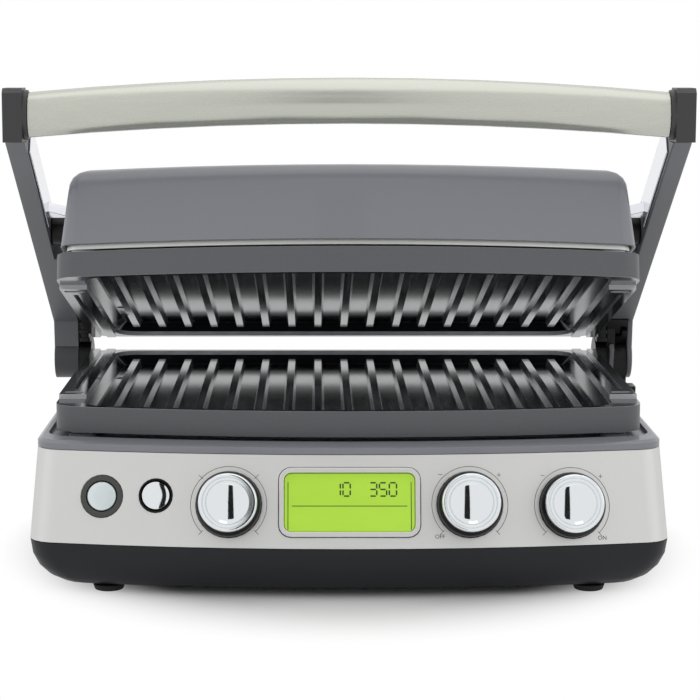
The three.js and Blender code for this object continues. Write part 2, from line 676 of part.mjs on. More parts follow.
/** The moulded tub under and behind the panel sheet, with the shelf that carries the drip tray. */
function lowerHousing() {
  let tub = baseForm(HOUSING_BOTTOM, PANEL_TOP, 0);
  const wrapZone = box(
    -PANEL_HALF_BOTTOM - OVERRUN,
    PANEL_HALF_BOTTOM + OVERRUN,
    PANEL_FRONT - OVERRUN,
    PANEL_WRAP_REAR + SEAT,
    PANEL_BOTTOM,
    PANEL_TOP + OVERRUN,
  );
  const core = panelForm(PANEL_BOTTOM - OVERRUN, PANEL_TOP + 2 * OVERRUN, PANEL_SHEET + SEAT);
  tub = tub.subtract(wrapZone.subtract(core));
  const cavityTop = PANEL_TOP + OVERRUN;
  const wall = HOUSING_WALL + PANEL_SHEET + SEAT;
  tub = tub.subtract(baseForm(HOUSING_FLOOR, cavityTop, wall));
  tub = tub.subtract(
    box(
      -PANEL_HALF_BOTTOM - OVERRUN,
      -PANEL_HALF_TOP + wall + OVERRUN,
      TRAY_FRONT_Y - RUNNING,
      TRAY_REAR + RUNNING,
      TRAY_FLOOR - RUNNING,
      TRAY_TOP + RUNNING,
    ),
  );
  const shelfTop = TRAY_FLOOR - SEAT;
  const shelfEnd = TRAY_X_INNER + TRAY_WALL;
  const wallMiddle = -(PANEL_HALF_BOTTOM - PANEL_FLARE * (TRAY_FLOOR - PANEL_BOTTOM)) + wall / 2;
  const shelf = box(wallMiddle, shelfEnd, TRAY_FRONT_Y, TRAY_REAR, shelfTop - SHELF_SHEET, shelfTop);
  const inFloor = HOUSING_BOTTOM + HOUSING_WALL / 2;
  const leg = box(shelfEnd - SHELF_SHEET, shelfEnd, TRAY_FRONT_Y, TRAY_REAR, inFloor, shelfTop);
  tub = tub.add(shelf).add(leg);
  const post = (x, y) => prism(circle(x, y, BOARD_POST, SMALL_SIDES), inFloor, POWER_BOARD_HEIGHT - SEAT);
  const [boardWidth, boardDepth] = POWER_BOARD;
  const [boardX, boardY] = POWER_BOARD_PLACE;
  [-1, 1].forEach((right) => {
    [-1, 1].forEach((back) => {
      const x = boardX + right * (boardWidth / 2 - BOARD_POST);
      const y = boardY + back * (boardDepth / 2 - BOARD_POST);
      tub = tub.add(post(x, y));
    });
  });
  const [glandX, glandZ] = GLAND_PLACE;
  const bore = GLAND_RADIUS + SEAT;
  const glandHole = new THREE.CylinderGeometry(bore, bore, 2 * GLAND_DEPTH, ROUND_SIDES);
  return cutPanelHoles(tub.subtract(solid(glandHole.translate(glandX, BASE_REAR, glandZ))));
}
add(grill, "lower_housing", lowerHousing(), "charcoal");

/** The two hooks that hold a plate's rear tabs, on a floor that runs forward to a line. */
function hooks(bottom, front) {
  const hookFront = PLATE_REAR + TAB_REACH - HOOK_DEPTH / 2;
  const hookRear = hookFront + HOOK_DEPTH;
  const tabBottom = PLATE_BOTTOM + TAB_RISE;
  return [-1, 1].map((side) => {
    const x = side * TAB_SHARE * PLATE_HALF;
    const half = TAB_WIDTH / 2 + HOOK_MARGIN;
    const room = TAB_WIDTH / 2 + RUNNING;
    const slot = box(
      x - room,
      x + room,
      hookFront - OVERRUN,
      PLATE_REAR + TAB_REACH + RUNNING,
      tabBottom - RUNNING,
      tabBottom + TAB_THICKNESS + HOOK_ROOM,
    );
    return box(x - half, x + half, hookFront, hookRear, bottom, PLATE_BOTTOM + HOOK_HEIGHT)
      .subtract(slot)
      .add(box(x - half, x + half, front, hookRear, bottom, bottom + HOOK_LINK));
  });
}

/** The painted deck on which the lower plate stands. */
function deck() {
  const shoulder = DECK_TOP - DECK_EDGE;
  const outer = baseOutline(PANEL_TOP);
  let made = loft([
    { z: DECK_BOTTOM, points: bowedOutline(outer) },
    { z: shoulder, points: bowedOutline(outer) },
    { z: DECK_TOP, points: bowedOutline(outer, DECK_SHOULDER) },
  ]);
  const recess = {
    ...plateOutline,
    half: plateOutline.half + DECK_RECESS_CLEAR,
    front: plateOutline.front - DECK_RECESS_CLEAR,
    rear: plateOutline.rear + DECK_RECESS_CLEAR,
  };
  made = made.subtract(prism(bowedOutline(recess), RECESS_FLOOR, DECK_TOP + OVERRUN));
  made = made.subtract(
    prism(bowedOutline(plateOutline, DECK_OPENING_MARGIN), DECK_BOTTOM - OVERRUN, DECK_TOP + OVERRUN),
  );
  const drainWell = circle(DRAIN_X, DRAIN_Y, DRAIN_WELL, SMALL_SIDES);
  made = made.subtract(prism(drainWell, DECK_BOTTOM - OVERRUN, DECK_TOP));
  padPlaces.forEach(([x, y]) => {
    const boss = circle(x, y, DECK_BOSS, SMALL_SIDES);
    made = made.add(prism(boss, DECK_BOTTOM, PLATE_BOTTOM - PAD_HEIGHT - SEAT));
  });
  return hooks(RECESS_FLOOR - HOOK_LINK, PLATE_REAR).reduce((rest, hook) => rest.add(hook), made);
}
add(grill, "deck", deck(), "graphitePaint");

/** A rubber foot. */
function foot() {
  const top = HOUSING_BOTTOM - SEAT;
  return turned([[0, 0], [FOOT_RADIUS - FOOT_TAPER, 0], [FOOT_RADIUS, top], [0, top]], ROUND_SIDES);
}
[["front", FOOT_FRONT], ["rear", FOOT_REAR]].forEach(([end, y]) => {
  [["left", -1], ["right", 1]].forEach(([hand, side]) => {
    const x = side * (PANEL_HALF_BOTTOM - FOOT_INSET);
    add(grill, `${end}_${hand}_foot`, foot(), "rubber").position.set(x, y, 0);
  });
});

// Heating, drawn for the base and mirrored for the lid

/** The shallow steel pan that throws the heat back at the plate. */
function reflector() {
  const flangeBottom = RECESS_FLOOR + SEAT;
  const flangeTop = flangeBottom + PAN_SHEET;
  const bottom = flangeTop - PAN_DEPTH;
  const wall = DECK_OPENING_MARGIN + SEAT;
  const flange = prism(bowedOutline(plateOutline, wall - PAN_FLANGE), flangeBottom, flangeTop);
  const well = prism(bowedOutline(plateOutline, wall), bottom, flangeTop);
  const inside = prism(bowedOutline(plateOutline, wall + PAN_SHEET), bottom + PAN_SHEET, flangeTop + OVERRUN);
  const holes = [-1, 1].map((side) =>
    prism(
      circle((side * ELEMENT_GAP) / 2, ELEMENT_REAR, ELEMENT_RADIUS + SEAT * 2, SMALL_SIDES),
      bottom - OVERRUN,
      flangeTop,
    ),
  );
  return flange.add(well).subtract(inside).subtract(holes[0]).subtract(holes[1]);
}

const ELEMENT_Z = PLATE_BOTTOM + PLATE_HOLLOW - SEAT - ELEMENT_RADIUS;
const ELEMENT_REAR = PLATE_REAR - ELEMENT_MARGIN;
const PAN_BOTTOM = RECESS_FLOOR + SEAT + PAN_SHEET - PAN_DEPTH;

/** A path of straight runs with rounded corners, from [x, y, z, bend] points. */
function roundedPath(points) {
  const path = new THREE.CurvePath();
  const at = points.map(([x, y, z]) => new THREE.Vector3(x, y, z));
  let from = at[0];
  for (let i = 1; i < at.length - 1; i += 1) {
    const bend = points[i][3];
    const before = at[i].clone().lerp(at[i - 1], bend / at[i].distanceTo(at[i - 1]));
    const after = at[i].clone().lerp(at[i + 1], bend / at[i].distanceTo(at[i + 1]));
    path.add(new THREE.LineCurve3(from, before));
    path.add(new THREE.QuadraticBezierCurve3(before, at[i], after));
    from = after;
  }
  path.add(new THREE.LineCurve3(from, at.at(-1)));
  return path;
}

/** The sheathed heating element: one long loop whose two ends turn down through the pan. */
function heatingElement() {
  const half = PLATE_HALF - ELEMENT_MARGIN;
  const front = PLATE_FRONT + ELEMENT_MARGIN + PLATE_CORNER;
  const gap = ELEMENT_GAP / 2;
  const inner = half / 2;
  const side = [
    [gap, ELEMENT_REAR, ELEMENT_Z - ELEMENT_END_LENGTH, 0],
    [gap, ELEMENT_REAR, ELEMENT_Z, ELEMENT_TURN],
    [half, ELEMENT_REAR, ELEMENT_Z, ELEMENT_BEND],
    [half, front, ELEMENT_Z, ELEMENT_BEND],
    [inner, front, ELEMENT_Z, ELEMENT_BEND],
    [inner, ELEMENT_REAR - ELEMENT_MARGIN, ELEMENT_Z, ELEMENT_BEND],
  ];
  const otherSide = side.map(([x, ...rest]) => [-x, ...rest]).reverse();
  const section = new THREE.Shape(circle(0, 0, ELEMENT_RADIUS, ELEMENT_SIDES));
  const extrudePath = roundedPath([...side, ...otherSide]);
  return solid(new THREE.ExtrudeGeometry(section, { steps: ELEMENT_STEPS, extrudePath }));
}

/** The sprung probe that touches the plate from below. */
function sensor() {
  const bottom = PAN_BOTTOM + PAN_SHEET + SEAT;
  const top = PLATE_BOTTOM + PLATE_HOLLOW - SEAT;
  const stem = SENSOR_RADIUS / 2;
  const middle = (bottom + top) / 2;
  return turned(
    [[0, bottom], [SENSOR_RADIUS, bottom], [SENSOR_RADIUS, middle], [stem, middle], [stem, top], [0, top]],
    SMALL_SIDES,
  ).translate([SENSOR_PLACE, (PLATE_FRONT + PLATE_REAR) / 2, 0]);
}
const reflectorSolid = reflector();
const elementSolid = heatingElement();
const sensorSolid = sensor();
add(grill, "lower_reflector", reflectorSolid, "sheetSteel");
add(grill, "lower_heating_element", elementSolid, "sheetSteel");
add(grill, "lower_temperature_sensor", sensorSolid, "chrome");

// Controls

/** One turning knob: a dark skirt with its shaft, and a stepped chrome cap. */
function knob({ name, x }) {
  const frame = new THREE.Group();
  const surface = panelSag(x);
  frame.position.set(x, KNOB_DROP, surface);
  panelFrame.add(frame);
  const skirtFront = KNOB_SKIRT;
  const spigot = KNOB_CAP_RADIUS - KNOB_CAP_LAP;
  const shaftEnd = -BOARD_BACK + BOARD_SHEET + ENCODER_DEPTH + 2 * SEAT - surface;
  const skirt = turned(
    [
      [0, shaftEnd],
      [SHAFT_RADIUS, shaftEnd],
      [SHAFT_RADIUS, -KNOB_SINK],
      [KNOB_RADIUS, -KNOB_SINK],
      [KNOB_RADIUS, skirtFront - KNOB_CAP_LAP],
      [KNOB_CAP_RADIUS, skirtFront],
      [spigot, skirtFront],
      [spigot, skirtFront + KNOB_CAP_LAP],
      [0, skirtFront + KNOB_CAP_LAP],
    ],
    KNOB_SIDES,
  );
  add(frame, `${name}_knob_skirt`, skirt, "blackPlastic");
  const back = skirtFront + SEAT;
  const front = skirtFront + KNOB_CAP;
  const bore = spigot + SEAT;
  const rings = [0, 1, 2].map((i) => KNOB_CAP_RADIUS - KNOB_RING * (i + 1 / 2));
  const cap = turned(
    [
      [0, back + KNOB_CAP_LAP],
      [bore, back + KNOB_CAP_LAP],
      [bore, back],
      [KNOB_CAP_RADIUS, back],
      [KNOB_CAP_RADIUS, front - KNOB_STEP * 2],
      [rings[0], front - KNOB_STEP],
      [rings[0], front],
      [rings[1], front],
      [rings[1], front - KNOB_STEP],
      [rings[2], front - KNOB_STEP],
      [rings[2], front],
      [0, front],
    ],
    KNOB_SIDES,
  );
  add(frame, `${name}_knob_cap`, cap, "chrome");
}
knobs.forEach(knob);

/** A rotary encoder on the control board. */
function encoder({ name, x }) {
  const back = -BOARD_BACK + BOARD_SHEET + SEAT;
  const half = ENCODER_SIZE / 2;
  const made = box(x - half, x + half, KNOB_DROP - half, KNOB_DROP + half, back, back + ENCODER_DEPTH);
  add(panelFrame, `${name}_encoder`, made, "sheetSteel");
}
knobs.forEach(encoder);

/** A push button in its ring, with the switch behind it. */
function pushButton({ name, x, ring, cap }) {
  const surface = panelSag(x);
  const frame = new THREE.Group();
  frame.position.set(x, BUTTON_RISE, surface);
  panelFrame.add(frame);
  const bore = cap + RUNNING;
  const tube = (outer, bottom, top) => prism(circle(0, 0, outer), bottom, top);
  const hole = tube(bore, -RING_DEPTH - OVERRUN, RING_PROUD + OVERRUN);
  add(frame, `${name}_button_ring`, tube(ring, -RING_DEPTH, RING_PROUD).subtract(hole), "blackPlastic");
  const switchTop = -BOARD_BACK + BOARD_SHEET + SEAT + SWITCH_DEPTH - surface;
  const stemEnd = switchTop + BUTTON_TRAVEL + SEAT;
  const key = turned(
    [
      [0, stemEnd],
      [BUTTON_STEM, stemEnd],
      [BUTTON_STEM, -BUTTON_DEPTH],
      [cap, -BUTTON_DEPTH],
      [cap, RING_PROUD],
      [cap - BUTTON_CROWN * 2, RING_PROUD + BUTTON_CROWN],
      [0, RING_PROUD + BUTTON_CROWN],
    ],
    ROUND_SIDES,
  );
  add(frame, `${name}_button`, key, "chrome");
  const half = SWITCH_SIZE / 2;
  const body = box(-half, half, -half, half, switchTop - SWITCH_DEPTH, switchTop);
  add(frame, `${name}_switch`, body, "blackPlastic");
}
buttons.forEach(pushButton);

/** The display: a frame in the panel, a window in the frame and the display block behind it. */
function display() {
  const outer = roundedRectangle(0, 0, frameWidth, frameHeight, screenCorner);
  const window = roundedRectangle(0, 0, SCREEN_WIDTH, SCREEN_HEIGHT, SCREEN_CORNER);
  const [paneWidth, paneHeight] = [SCREEN_WIDTH - 2 * SEAT, SCREEN_HEIGHT - 2 * SEAT];
  const pane = roundedRectangle(0, 0, paneWidth, paneHeight, SCREEN_CORNER - SEAT);
  const back = -SCREEN_FRAME_DEPTH;
  const surround = prism(outer, back, SCREEN_FRAME_PROUD).subtract(prism(window, back - OVERRUN, OVERRUN));
  add(panelFrame, "display_frame", surround, "brushedSteel");
  const paneFront = -SCREEN_RECESS;
  const paneBack = paneFront - SCREEN_SHEET;
  add(panelFrame, "display_window", prism(pane, paneBack, paneFront), "screen");
  const boardFront = -BOARD_BACK + BOARD_SHEET + SEAT;
  add(panelFrame, "display_module", prism(pane, boardFront, paneBack - SEAT), "blackPlastic");
  const half = -START_SHARE * PANEL_HALF_TOP + BOARD_MARGIN;
  const tall = BOARD_HEIGHT / 2;
  const board = box(-half, half, -tall, tall, -BOARD_BACK, -BOARD_BACK + BOARD_SHEET);
  add(panelFrame, "control_board", board, "circuitBoard");
}
display();

// Power and wiring

const [boardWidth, boardDepth] = POWER_BOARD;
const [boardX, boardY] = POWER_BOARD_PLACE;
const boardTop = POWER_BOARD_HEIGHT + BOARD_SHEET;
const powerBoard = box(
  boardX - boardWidth / 2,
  boardX + boardWidth / 2,
  boardY - boardDepth / 2,
  boardY + boardDepth / 2,
  POWER_BOARD_HEIGHT,
  boardTop,
);
add(grill, "power_board", powerBoard, "circuitBoard");
const [relayX, relayY, relayZ] = RELAY;
const relayBottom = boardTop + SEAT;
const relayEnds = [boardX - relayX / 2, boardX + relayX / 2];
const relay = box(...relayEnds, boardY - relayY, boardY, relayBottom, relayBottom + relayZ);
add(grill, "heater_relay", relay, "blackPlastic");
const [blockX, blockY, blockZ] = TERMINAL_BLOCK;
const blockRear = boardY + boardDepth / 2 - blockY;
const blockTop = relayBottom + blockZ;
const blockEnds = [boardX - blockX / 2, boardX + blockX / 2];
const terminals = box(...blockEnds, blockRear - blockY, blockRear, relayBottom, blockTop);
add(grill, "terminal_block", terminals, "blackPlastic");

/** The bushing through which the mains lead enters. */
function inletBushing() {
  const [x, z] = GLAND_PLACE;
  const flangeBack = SEAT;
  const made = turned(
    [
      [GLAND_BORE, -GLAND_DEPTH],
      [GLAND_RADIUS, -GLAND_DEPTH],
      [GLAND_RADIUS, flangeBack],
      [GLAND_FLANGE, flangeBack],
      [GLAND_FLANGE - SEAT, flangeBack + GLAND_PROUD],
      [GLAND_BORE, flangeBack + GLAND_PROUD],
      [GLAND_BORE, -GLAND_DEPTH],
    ],
    ROUND_SIDES,
  );
  const mesh = add(grill, "inlet_bushing", made, "rubber");
  mesh.position.set(x, BASE_REAR, z);
  mesh.rotation.x = -Math.PI / 2;
}
inletBushing();

/** The drip tray, closed by its own face at the left side of the housing. */
function dripTray() {
  const low = baseOutline(TRAY_FLOOR).half;
  const high = baseOutline(TRAY_TOP).half;
  const outline = [
    point(-low, TRAY_FLOOR),
    point(TRAY_X_INNER, TRAY_FLOOR),
    point(TRAY_X_INNER, TRAY_TOP),
    point(-high, TRAY_TOP),
  ];
  const shape = new THREE.Shape(outline);
  const form = new THREE.ExtrudeGeometry(shape, { depth: TRAY_DEPTH, bevelEnabled: false });
  const face = -high + TRAY_FRONT_LIP;
  const inside = box(
    face + TRAY_WALL,
    TRAY_X_INNER - TRAY_WALL,
    TRAY_FRONT_Y + TRAY_WALL,
    TRAY_REAR - TRAY_WALL,
    TRAY_FLOOR + TRAY_WALL,
    TRAY_TOP + OVERRUN,
  );
  const gripMiddle = (TRAY_FRONT_Y + TRAY_REAR) / 2;
  const gripTop = TRAY_FLOOR + TRAY_GRIP / 2;
  const gripEnds = [gripMiddle - TRAY_GRIP, gripMiddle + TRAY_GRIP];
  const grip = box(-low - OVERRUN, face, ...gripEnds, TRAY_FLOOR - OVERRUN, gripTop);
  return solid(form.rotateX(Math.PI / 2).translate(0, TRAY_REAR, 0)).subtract(inside).subtract(grip);
}
add(grill, "drip_tray", dripTray(), "charcoal");

// Hinge towers on the base

const armInner = HALF_SPAN - ARM_THICK;
const armThinInner = HALF_SPAN - ARM_THIN;
const cheekInner = HALF_SPAN - ARM_CHEEK;
const TOWER_INNER = PLATE_HALF + TOWER_CLEAR;
const TOWER_OUTER = armInner - RUNNING;
const DECK_SEAT = DECK_TOP + SEAT;

/** A disc about the hinge axis. */
function hubDisc(radius, left, right, sides = ROUND_SIDES) {
  return slab(circle(0, HINGE_HEIGHT, radius, sides), left, right);
}

/** Mirrors a right-hand piece to the left. */
const toLeft = (made) => made.mirror([1, 0, 0]);

/** The tower that stands on the deck and carries one hinge pin, drawn on the right. */
function hingeTower() {
  const saddle = [
    point(TOWER_FRONT, DECK_SEAT),
    point(BASE_REAR, DECK_SEAT),
    point(HUB_RADIUS, HINGE_HEIGHT),
    point(-HUB_RADIUS, HINGE_HEIGHT),
  ];
  const below = box(
    TOWER_INNER - OVERRUN,
    HALF_SPAN,
    -HUB_RADIUS - OVERRUN,
    HUB_RADIUS + OVERRUN,
    HINGE_HEIGHT - HUB_RADIUS - OVERRUN,
    DECK_SEAT,
  );
  return slab(saddle, TOWER_INNER, TOWER_OUTER)
    .add(hubDisc(HUB_RADIUS, TOWER_INNER, TOWER_OUTER))
    .subtract(below);
}
const pinHole = hubDisc(HINGE_PIN + SEAT, TOWER_INNER - OVERRUN, HALF_SPAN - ARM_CHEEK / 2, SMALL_SIDES);
add(grill, "left_hinge_tower", toLeft(hingeTower().subtract(pinHole)), "blackPlastic");

/** The right tower also has the stepped post that stands in the arm's pocket, and an outer lug. */
function rightTower() {
  const postOuter = cheekInner - RUNNING;
  const beside = baseOutline(LUG_FOOT).half + SEAT;
  const post = [
    point(POST_FRONT, LUG_FOOT),
    point(POST_REAR, LUG_FOOT),
    point(POST_REAR, HINGE_HEIGHT),
    point(POST_FRONT, HINGE_HEIGHT),
  ];
  const lug = [
    point(LUG_FRONT, LUG_FOOT),
    point(POST_FRONT, LUG_FOOT),
    point(POST_FRONT, LUG_TOP - HOUSING_WALL),
    point(LUG_REAR, LUG_TOP),
    point(LUG_FRONT, LUG_TOP),
  ];
  const lugStem = [
    point(LUG_FRONT, LUG_FOOT),
    point(POST_REAR, LUG_FOOT),
    point(POST_REAR, LUG_TOP),
    point(LUG_FRONT, LUG_TOP),
  ];
  return hingeTower()
    .add(slab(post, beside, postOuter))
    .add(hubDisc(POST_RADIUS, TOWER_OUTER - HOUSING_WALL, postOuter))
    .add(slab(lugStem, beside, beside + LUG_STEM))
    .add(slab(lug, beside, HALF_SPAN))
    .subtract(pinHole);
}
add(grill, "right_hinge_tower", rightTower(), "blackPlastic");

// A hinge pin stands in its tower and carries the arm's hub.
const pinFrom = TOWER_INNER + SEAT;
const pinTo = HALF_SPAN - ARM_CHEEK / 2 - SEAT;
const pin = hubDisc(HINGE_PIN, pinFrom, pinTo, SMALL_SIDES);
add(grill, "left_hinge_pin", toLeft(pin), "sheetSteel");
add(grill, "right_hinge_pin", pin, "sheetSteel");

/** The small lever in front of the right post that frees the arm to open flat. */
function releaseLever() {
  const left = TOWER_OUTER + RUNNING;
  const outline = [
    point(POST_FRONT - SEAT, LUG_TOP + SEAT),
    point(POST_FRONT - SEAT, LEVER_TOP - LEVER_THICK),
    point(POST_FRONT - LEVER_THICK, LEVER_TOP),
    point(LEVER_FRONT, LEVER_TOP - LEVER_THICK),
    point(LEVER_FRONT + LEVER_THICK, HINGE_HEIGHT),
    point(LEVER_FRONT + LEVER_THICK, LUG_TOP + SEAT),
  ];
  return slab(outline.reverse(), left, left + LEVER_SHEET);
}
add(grill, "release_lever", releaseLever(), "armPlastic");

// Arms and handle, drawn shut and then lifted about the hinge

const swing = new THREE.Group();
swing.position.set(0, 0, HINGE_HEIGHT);
swing.rotation.x = -ARM_LIFT * DEGREE;
grill.add(swing);
const shut = new THREE.Group();
shut.position.set(0, 0, -HINGE_HEIGHT);
swing.add(shut);

/** A point beside the arm's line: along it from the hinge, and off it. */
function armPoint(along, off) {
  const slope = ARM_SLOPE * DEGREE;
  return point(
    off * Math.sin(slope) - along * Math.cos(slope),
    HINGE_HEIGHT + off * Math.cos(slope) + along * Math.sin(slope),
  );
}
const armNeck = HUB_RADIUS * ARM_NECK_SHARE;
const [armBack, armUp] = ARM_BACK_SHARES.map((share) => HUB_RADIUS * share);
const armOutline = [
  armPoint(-armNeck, 0),
  armPoint(armNeck, 0),
  armPoint(ARM_HEEL, ARM_LOW),
  armPoint(ARM_END, ARM_LOW),
  armPoint(ARM_END, ARM_HIGH),
  armPoint(ARM_HEEL, ARM_HIGH),
  armPoint(-armBack, armUp),
].reverse();
/** The handle's place and its upright direction when shut. */
const handleMiddle = armPoint(HANDLE_ALONG, HANDLE_OFF);
const handleTurn = ARM_LIFT * DEGREE;

/** A point of a section round the handle's line: depth forwards and rise upwards as the grill stands open. */
function handlePoint(depth, rise, bow = 0) {
  const slope = ARM_SLOPE * DEGREE;
  const y = handleMiddle.x - bow * Math.cos(slope);
  const z = handleMiddle.y + bow * Math.sin(slope);
  return point(
    y - depth * Math.cos(handleTurn) - rise * Math.sin(handleTurn),
    z - depth * Math.sin(handleTurn) + rise * Math.cos(handleTurn),
  );
}

/** An oval ring round the handle's line. */
function handleRing(tall, thick, bow) {
  return Array.from({ length: HANDLE_SIDES }, (_, i) => {
    const turn = (2 * Math.PI * i) / HANDLE_SIDES;
    return handlePoint((-thick / 2) * Math.cos(turn), (tall / 2) * Math.sin(turn), bow);
  });
}
const blockOutline = [
  [BLOCK_THICK / 2, -BLOCK_TALL / 2],
  [-BLOCK_THICK / 2, -BLOCK_TALL / 2],
  [-BLOCK_THICK / 2, BLOCK_TALL / 2 - BLOCK_CHAMFER],
  [-BLOCK_THICK / 2 + BLOCK_CHAMFER, BLOCK_TALL / 2],
  [BLOCK_THICK / 2 - BLOCK_CHAMFER, BLOCK_TALL / 2],
  [BLOCK_THICK / 2, BLOCK_TALL / 2 - BLOCK_CHAMFER],
].map(([depth, rise]) => handlePoint(depth, rise));
const blockRoom = [
  [BLOCK_THICK / 2 + SEAT, -BLOCK_TALL / 2 - SEAT],
  [-BLOCK_THICK / 2 - SEAT, -BLOCK_TALL / 2 - SEAT],
  [-BLOCK_THICK / 2 - SEAT, BLOCK_TALL / 2 + SEAT],
  [BLOCK_THICK / 2 + SEAT, BLOCK_TALL / 2 + SEAT],
].map(([depth, rise]) => handlePoint(depth, rise));

/** One arm, drawn on the right, with its thick lower part and its thin upper part. */
function armBody() {
  const stepOutline = [
    armPoint(ARM_STEP, ARM_LOW - OVERRUN),
    armPoint(ARM_END + OVERRUN, ARM_LOW - OVERRUN),
    armPoint(ARM_END + OVERRUN, ARM_HIGH + OVERRUN),
    armPoint(ARM_STEP, ARM_HIGH + OVERRUN),
  ].reverse();
  return slab(armOutline, armInner, HALF_SPAN)
    .subtract(slab(stepOutline, armInner - OVERRUN, armThinInner))
    .subtract(slab(blockRoom, armInner - OVERRUN, HALF_SPAN + OVERRUN));
}

// The left arm ends in a separate dark barrel. The right arm is hollowed round the post and keeps a cheek.
const barrelRoom = hubDisc(HUB_RADIUS + SEAT, armInner - OVERRUN, HALF_SPAN + OVERRUN);
add(shut, "left_arm", toLeft(armBody().subtract(barrelRoom)), "armPlastic");
const barrel = hubDisc(HUB_RADIUS, armInner, HALF_SPAN).subtract(pinHole);
add(shut, "left_hinge_barrel", toLeft(barrel), "charcoal");
const rightArm = armBody()
  .add(hubDisc(HUB_RADIUS, cheekInner, HALF_SPAN))
  .subtract(hubDisc(ARM_POCKET, armInner - OVERRUN, cheekInner, KNOB_SIDES))
  .subtract(pinHole);
add(shut, "right_arm", rightArm, "armPlastic");

/** The stepped cam on the inside of the right arm's cheek. */
function hingeCam() {
  const rings = [[CAM_RADIUS, CAM_SHEET / 2], [(CAM_RADIUS + HUB_RADIUS) / 2, CAM_SHEET]];
  const outer = cheekInner - SEAT;
  const inner = POST_RADIUS + RUNNING;
  const sector = (radius) => {
    const ring = [];
    const steps = CORNER_STEPS * 2;
    for (let i = 0; i <= steps; i += 1) {
      const turn = (CAM_FROM + ((CAM_TO - CAM_FROM) * i) / steps) * DEGREE;
      ring.push(armPoint(radius * Math.cos(turn), radius * Math.sin(turn)));
    }
    for (let i = steps; i >= 0; i -= 1) {
      const turn = (CAM_FROM + ((CAM_TO - CAM_FROM) * i) / steps) * DEGREE;
      ring.push(armPoint(inner * Math.cos(turn), inner * Math.sin(turn)));
    }
    return ring.reverse();
  };
  return rings
    .map(([radius, sheet]) => slab(sector(radius), outer - sheet, outer))
    .reduce((made, next) => made.add(next));
}
add(shut, "right_hinge_cam", hingeCam(), "blackPlastic");

/** Turns a prism whose outline lies in X and along the arm, with its height off the arm, to its place. */
function besideArm(made) {
  const slope = ARM_SLOPE * DEGREE;
  const along = new THREE.Vector3(0, -Math.cos(slope), Math.sin(slope));
  const down = new THREE.Vector3(0, -Math.sin(slope), -Math.cos(slope));
  const turn = new THREE.Matrix4().makeBasis(new THREE.Vector3(1, 0, 0), along, down);
  return made.transform(turn.setPosition(0, 0, HINGE_HEIGHT).elements);
}

/** The bright strip on the inner face of an arm's thin part, with the gusset at its foot. */
function armTrim() {
  const trimEnd = ARM_END - BLOCK_THICK;
  const outline = [
    armPoint(TRIM_FROM, ARM_LOW + TRIM_MARGIN),
    armPoint(trimEnd, ARM_LOW + TRIM_MARGIN),
    armPoint(trimEnd, ARM_HIGH - TRIM_MARGIN),
    armPoint(TRIM_FROM, ARM_HIGH - TRIM_MARGIN),
  ].reverse();
  const outer = armThinInner - SEAT;
  const gussetEnd = PLATE_HALF - LID_INSET + GUSSET_CLEAR;
  const gussetTip = TRIM_FROM + GUSSET_LENGTH;
  const gusset = [point(outer, TRIM_FROM), point(outer, gussetTip), point(gussetEnd, TRIM_FROM)];
  const gussetOff = [-PIVOT_OFF - GUSSET_WIDTH / 2, -PIVOT_OFF + GUSSET_WIDTH / 2];
  return slab(outline, outer - TRIM_SHEET, outer).add(besideArm(prism(gusset, ...gussetOff)));
}
add(shut, "left_arm_trim", toLeft(armTrim()), "brushedAluminium");
add(shut, "right_arm_trim", armTrim(), "brushedAluminium");

/** A handle end block with its collar and the spigot inside the tube. */
function handleBlock() {
  const collarInner = armThinInner - BLOCK_COLLAR;
  const collarTall = HANDLE_TALL + 2 * BLOCK_COLLAR_PROUD;
  const collarThick = HANDLE_THICK + 2 * BLOCK_COLLAR_PROUD;
  const bore = 2 * (HANDLE_WALL + BLOCK_SPIGOT_ROOM);
  const spigot = handleRing(HANDLE_TALL - bore, HANDLE_THICK - bore);
  return slab(blockOutline, armThinInner, HALF_SPAN)
    .add(slab(handleRing(collarTall, collarThick), collarInner, armThinInner + OVERRUN))
    .add(slab(spigot, collarInner - BLOCK_SPIGOT, collarInner + OVERRUN));
}
add(shut, "left_handle_block", toLeft(handleBlock()), "charcoal");
add(shut, "right_handle_block", handleBlock(), "charcoal");

/** The bowed handle tube. */
function handleTube() {
  const end = armThinInner - BLOCK_COLLAR - SEAT;
  const stations = (wall) =>
    Array.from({ length: HANDLE_STATIONS + 1 }, (_, i) => {
      const share = (2 * i) / HANDLE_STATIONS - 1;
      const x = share * (end + (wall > 0 ? OVERRUN : 0));
      const bow = HANDLE_BOW * (1 - share ** 2);
      return { z: x, points: handleRing(HANDLE_TALL - 2 * wall, HANDLE_THICK - 2 * wall, bow) };
    });
  const across = [0, 1, 0, 0, 0, 0, 1, 0, 1, 0, 0, 0, 0, 0, 0, 1];
  return loft(stations(0)).subtract(loft(stations(HANDLE_WALL))).transform(across);
}
add(shut, "handle_tube", handleTube(), "brushedAluminium");

/** The stud on which one side of the lid turns, drawn on the right. */
function pivotStud() {
  const middle = armPoint(PIVOT_ALONG, PIVOT_OFF);
  const coverSide = PLATE_HALF - LID_INSET;
  const shoulder = coverSide + RUNNING;
  return slab(circle(middle.x, middle.y, PIVOT_STUB), shoulder, armThinInner - SEAT).add(
    slab(circle(middle.x, middle.y, PIVOT_PIN, SMALL_SIDES), coverSide - PIVOT_REACH, shoulder + OVERRUN),
  );
}
add(shut, "left_pivot_stud", toLeft(pivotStud()), "blackPlastic");
add(shut, "right_pivot_stud", pivotStud(), "blackPlastic");

// Lid, drawn shut

